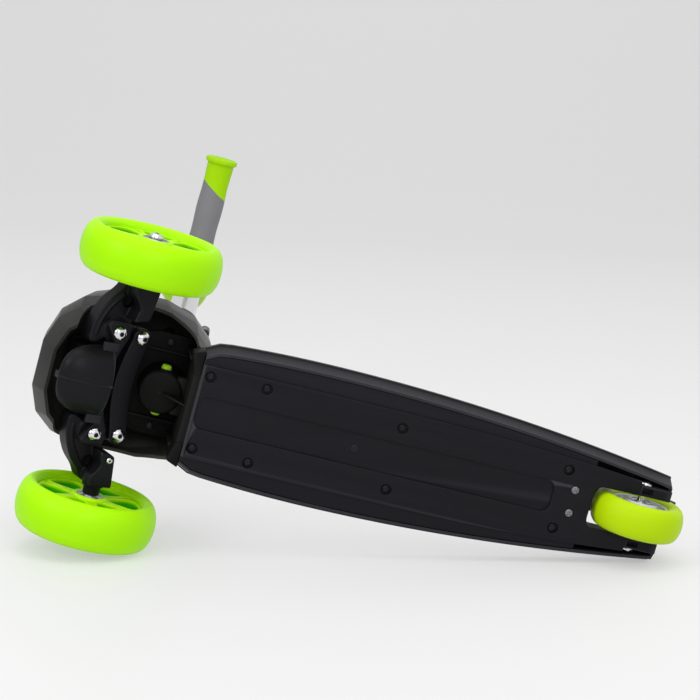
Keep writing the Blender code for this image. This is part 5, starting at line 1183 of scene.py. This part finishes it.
button = turned("stem_button", [(0, 0.0117), (0.0043, 0.0117), (0.0043, 0.0204), (0.0040, 0.0213),
                                (0.0032, 0.0220), (0.0018, 0.0223), (0, 0.0223)], 40)
for side, hand in HANDS:
    place = STEM @ moved((0, 0, BUTTON_RISE)) @ Matrix.Rotation(-side * math.pi / 2, 4, "X")
    fit(copied(button), place, f"button_{hand}", LIME_PLASTIC, "lime_plastic", f"stem_button_{hand}")
discard(button)
reach = 0.0106
bend = [(0, y, z) for y, z in arc(reach * 0.55, 0, 180, 16, (0, 0.032))]
spring_run = [(0, reach, BUTTON_RISE - 0.003), (0, reach, BUTTON_RISE + 0.004)] + bend
spring_run += [(0, -reach, BUTTON_RISE + 0.004), (0, -reach, BUTTON_RISE - 0.003)]
fit(wire("button_spring", spring_run, 0.0008), STEM, "frame", ZINC, "zinc_steel", "button_spring")


# Foot brake
# A black nylon mudguard over the rear wheel is also the brake pedal. It hinges on a steel pin between
# the ears of a small bracket on the deck, and a torsion spring lifts it off the tyre.

HINGE_X, HINGE_Z = 0.0510, 0.0625
HINGE = moved((REAR_AXLE_X + HINGE_X, 0, HINGE_Z))
BRACKET_TOP, BRACKET_LOW, EAR_IN, EAR_OUT, PIN_RADIUS = 0.0583, 0.0543, 0.0095, 0.0145, 0.0020
FENDER_INNER, FENDER_OUTER, FENDER_HALF = 0.045, 0.048, 0.013
bracket = block("brake_bracket", (0.0457, -EAR_OUT, BRACKET_LOW), (0.0696, EAR_OUT, BRACKET_TOP))
rounded(bracket, 0.0008)
bracket_ear = arc(0.0042, 15, 180, 14, (HINGE_X, HINGE_Z)) + [(0.0468, 0.0560), (0.0572, 0.0560)]
for side in (1, -1):
    joined(bracket, side_plate("ear", bracket_ear, *on_side(side, EAR_IN, EAR_OUT), 0.0007, 3))
carved(bracket, rod("pin_way", PIN_RADIUS + GAP, -0.02, 0.02, (HINGE_X, HINGE_Z), "Y"))
for side in (1, -1):
    place = (BRAKE_SEAT[0], side * BRAKE_SEAT[1])
    carved(bracket, rod("screw_way", SCREW_SHANK + GAP, 0.05, 0.07, place))
fit(bracket, REAR_AXLE, "frame", NYLON, "black_plastic", "brake_bracket")
pin = rounded(rod("brake_pin", PIN_RADIUS, -0.0150, 0.0150, (0, 0), "Y", 32), 0.0003)
fit(pin, HINGE, "frame", ZINC, "zinc_steel", "brake_pin")

axle = (-HINGE_X, REAR_RADIUS - HINGE_Z)
hoop = arc(FENDER_OUTER, 144, 58, 36, axle) + arc(0.0038, 56, -124, 12)
hoop += arc(FENDER_INNER, 58, 144, 36, axle)
fender = side_plate("brake_fender", hoop, -FENDER_HALF, FENDER_HALF, 0.0007, 3)
for i in range(7):
    low, high = FENDER_OUTER - 0.001, FENDER_OUTER + 0.0002
    line = block("line", (low, -0.0095, -0.0007), (high, 0.0095, 0.0007))
    turn = Matrix.Rotation(-math.radians(84 + 7 * i), 4, "Y")
    rounded(line, 0.0002).data.transform(moved((axle[0], 0, axle[1])) @ turn)
    joined(fender, line)
for low, high in ((0.0092, 0.05), (-0.05, -0.0092), (-0.0052, 0.0052)):
    carved(fender, block("gap", (-0.0078, low, -0.02), (0.02, high, 0.02)))
carved(fender, rod("pin_way", PIN_RADIUS + GAP, -0.02, 0.02, (0, 0), "Y"))
fit(fender, HINGE, "brake", NYLON, "black_plastic", "brake_fender")
turns = [(x, z - 0.0034, -y) for x, y, z in coil_points(0.0030, 0.0017, 4)]
legs = [(x, y, z - 0.0035) for x, y, z in (turns[0], turns[-1])]
turns = [legs[0]] + turns + [legs[1]]
fit(wire("brake_spring", turns, 0.0006), HINGE, "frame", ZINC, "zinc_steel", "brake_spring")


# Studio
# The scooter lies on a sweep of pale paper, on its right front wheel, right grip and right tail
# corner, under wide soft lights. The camera faces its underside from a little above and a little ahead.

FLOOR_UP = Vector((0.2175, 0.9757, 0.0283)).normalized()
FLOOR_DEPTH, SWEEP_HALF = -0.0928, 3.2
CAMERA_AT = Vector((0.3467, 0.4119, -1.9732))
CAMERA_RIGHT = Vector((-0.9598, 0.2599, -0.1057)).normalized()
CAMERA_LOOK = Vector((-0.1511, -0.1611, 0.9753)).normalized()

away = (CAMERA_LOOK - FLOOR_UP * CAMERA_LOOK.dot(FLOOR_UP)).normalized()
across = away.cross(FLOOR_UP).normalized()
middle = Vector((0, 0, 0.1)) - FLOOR_UP * (Vector((0, 0, 0.1)).dot(FLOOR_UP) - FLOOR_DEPTH)
sweep_line = [(-3.2, 0.0), (-1.0, 0.0), (1.0, 0.0), (2.6, 0.0)]
sweep_line += [(2.6 + x, 1.5 + y) for x, y in arc(1.5, -90, 0, 16)[1:]] + [(4.1, 4.5)]
sweep_points = []
for d, h in sweep_line:
    sweep_points += [middle + away * d + FLOOR_UP * h + across * w for w in (-SWEEP_HALF, SWEEP_HALF)]
sweep_faces = [(2 * i, 2 * i + 1, 2 * i + 3, 2 * i + 2) for i in range(len(sweep_line) - 1)]
sweep = tidy_skin(drawn("paper_sweep", sweep_points, faces=sweep_faces))
if sweep.data.polygons[0].normal.dot(FLOOR_UP) < 0:
    sweep.data.flip_normals()
bpy.ops.object.shade_smooth()


def reach_along(tree, coordinates, direction):
    """How far a point lies in a direction."""
    node = added(tree, "VectorMath")
    node.operation = "DOT_PRODUCT"
    node.inputs[1].default_value = direction
    tree.links.new(added(tree, "TexCoord").outputs[coordinates], node.inputs[0])
    return node.outputs["Value"]


# The paper glows a little, less so far off, and is clear from behind.
PAPER = bpy.data.materials.new("pale_paper")
PAPER.use_nodes = True
tree = PAPER.node_tree
paper = tree.nodes["Principled BSDF"]
paper.inputs["Base Color"].default_value = (0.34, 0.34, 0.34, 1)
paper.inputs["Emission Color"].default_value = (1, 1, 1, 1)
paper.inputs["Roughness"].default_value = 0.55
near, far = middle.dot(away) + 0.2, middle.dot(away) + 2.2
glow = reach_along(tree, "Object", away)
glow = spread(tree, glow, From_Min=near, From_Max=far, To_Min=0.42, To_Max=0.28)
tree.links.new(glow, paper.inputs["Emission Strength"])
one_sided = added(tree, "MixShader")
tree.links.new(added(tree, "NewGeometry").outputs["Backfacing"], one_sided.inputs["Fac"])
tree.links.new(paper.outputs["BSDF"], one_sided.inputs[1])
tree.links.new(added(tree, "BsdfTransparent").outputs["BSDF"], one_sided.inputs[2])
tree.links.new(one_sided.outputs["Shader"], tree.nodes["Material Output"].inputs["Surface"])
sweep.data.materials.append(PAPER)

# The air round the stage is bright above and on the right, and grey below.
air = bpy.data.worlds.new("studio_air")
bpy.context.scene.world = air
air.use_nodes = True
tree = air.node_tree
tree.nodes["Background"].inputs["Strength"].default_value = 1.00
height = reach_along(tree, "Generated", (FLOOR_UP + CAMERA_RIGHT * 0.30).normalized())
brightness = added(tree, "ValToRGB")
brightness.color_ramp.interpolation = "EASE"
below, above = brightness.color_ramp.elements
below.position, above.position = 0.25, 0.85
below.color, above.color = (0.22, 0.22, 0.225, 1), (1, 1, 1, 1)
tree.links.new(arithmetic(tree, "MULTIPLY_ADD", height, 0.5, 0.5), brightness.inputs["Fac"])
tree.links.new(brightness.outputs["Color"], tree.nodes["Background"].inputs["Color"])


def soft_light(name, at, toward, size, power):
    lamp = bpy.data.lights.new(name, "AREA")
    lamp.shape = "RECTANGLE"
    lamp.size, lamp.size_y = size
    lamp.energy = power
    stand = placed(name, lamp)
    stand.location = at
    stand.rotation_mode = "QUATERNION"
    stand.rotation_quaternion = (toward - at).to_track_quat("-Z", "Y")


soft_light("overhead", middle + FLOOR_UP * 2.2 - away * 0.5, middle, (2.0, 1.6), 16)
soft_light("from_left", middle - across * 1.9 - away * 1.6 + FLOOR_UP * 1.4, middle, (1.0, 1.2), 20)
beside_camera = CAMERA_AT - CAMERA_LOOK * 0.5 + FLOOR_UP * 0.5 + across * 0.3
soft_light("behind_camera", beside_camera, middle, (1.0, 0.8), 14)
backdrop = middle + away * 3.8 + FLOOR_UP * 0.6
soft_light("on_backdrop", middle + away * 2.2 + FLOOR_UP * 2.6, backdrop, (3.0, 0.8), 20)

camera = bpy.data.cameras.new("photographer")
camera.lens = 127.24
camera.sensor_width = 36.0
camera.clip_end = 30.0
stand = placed("photographer", camera)
camera_back = -CAMERA_LOOK
camera_up = camera_back.cross(CAMERA_RIGHT).normalized()
turn = Matrix((CAMERA_RIGHT, camera_up, camera_back)).transposed().to_4x4()
stand.matrix_world = moved(CAMERA_AT) @ turn
bpy.context.scene.camera = stand
bpy.context.scene.view_settings.view_transform = "Standard"
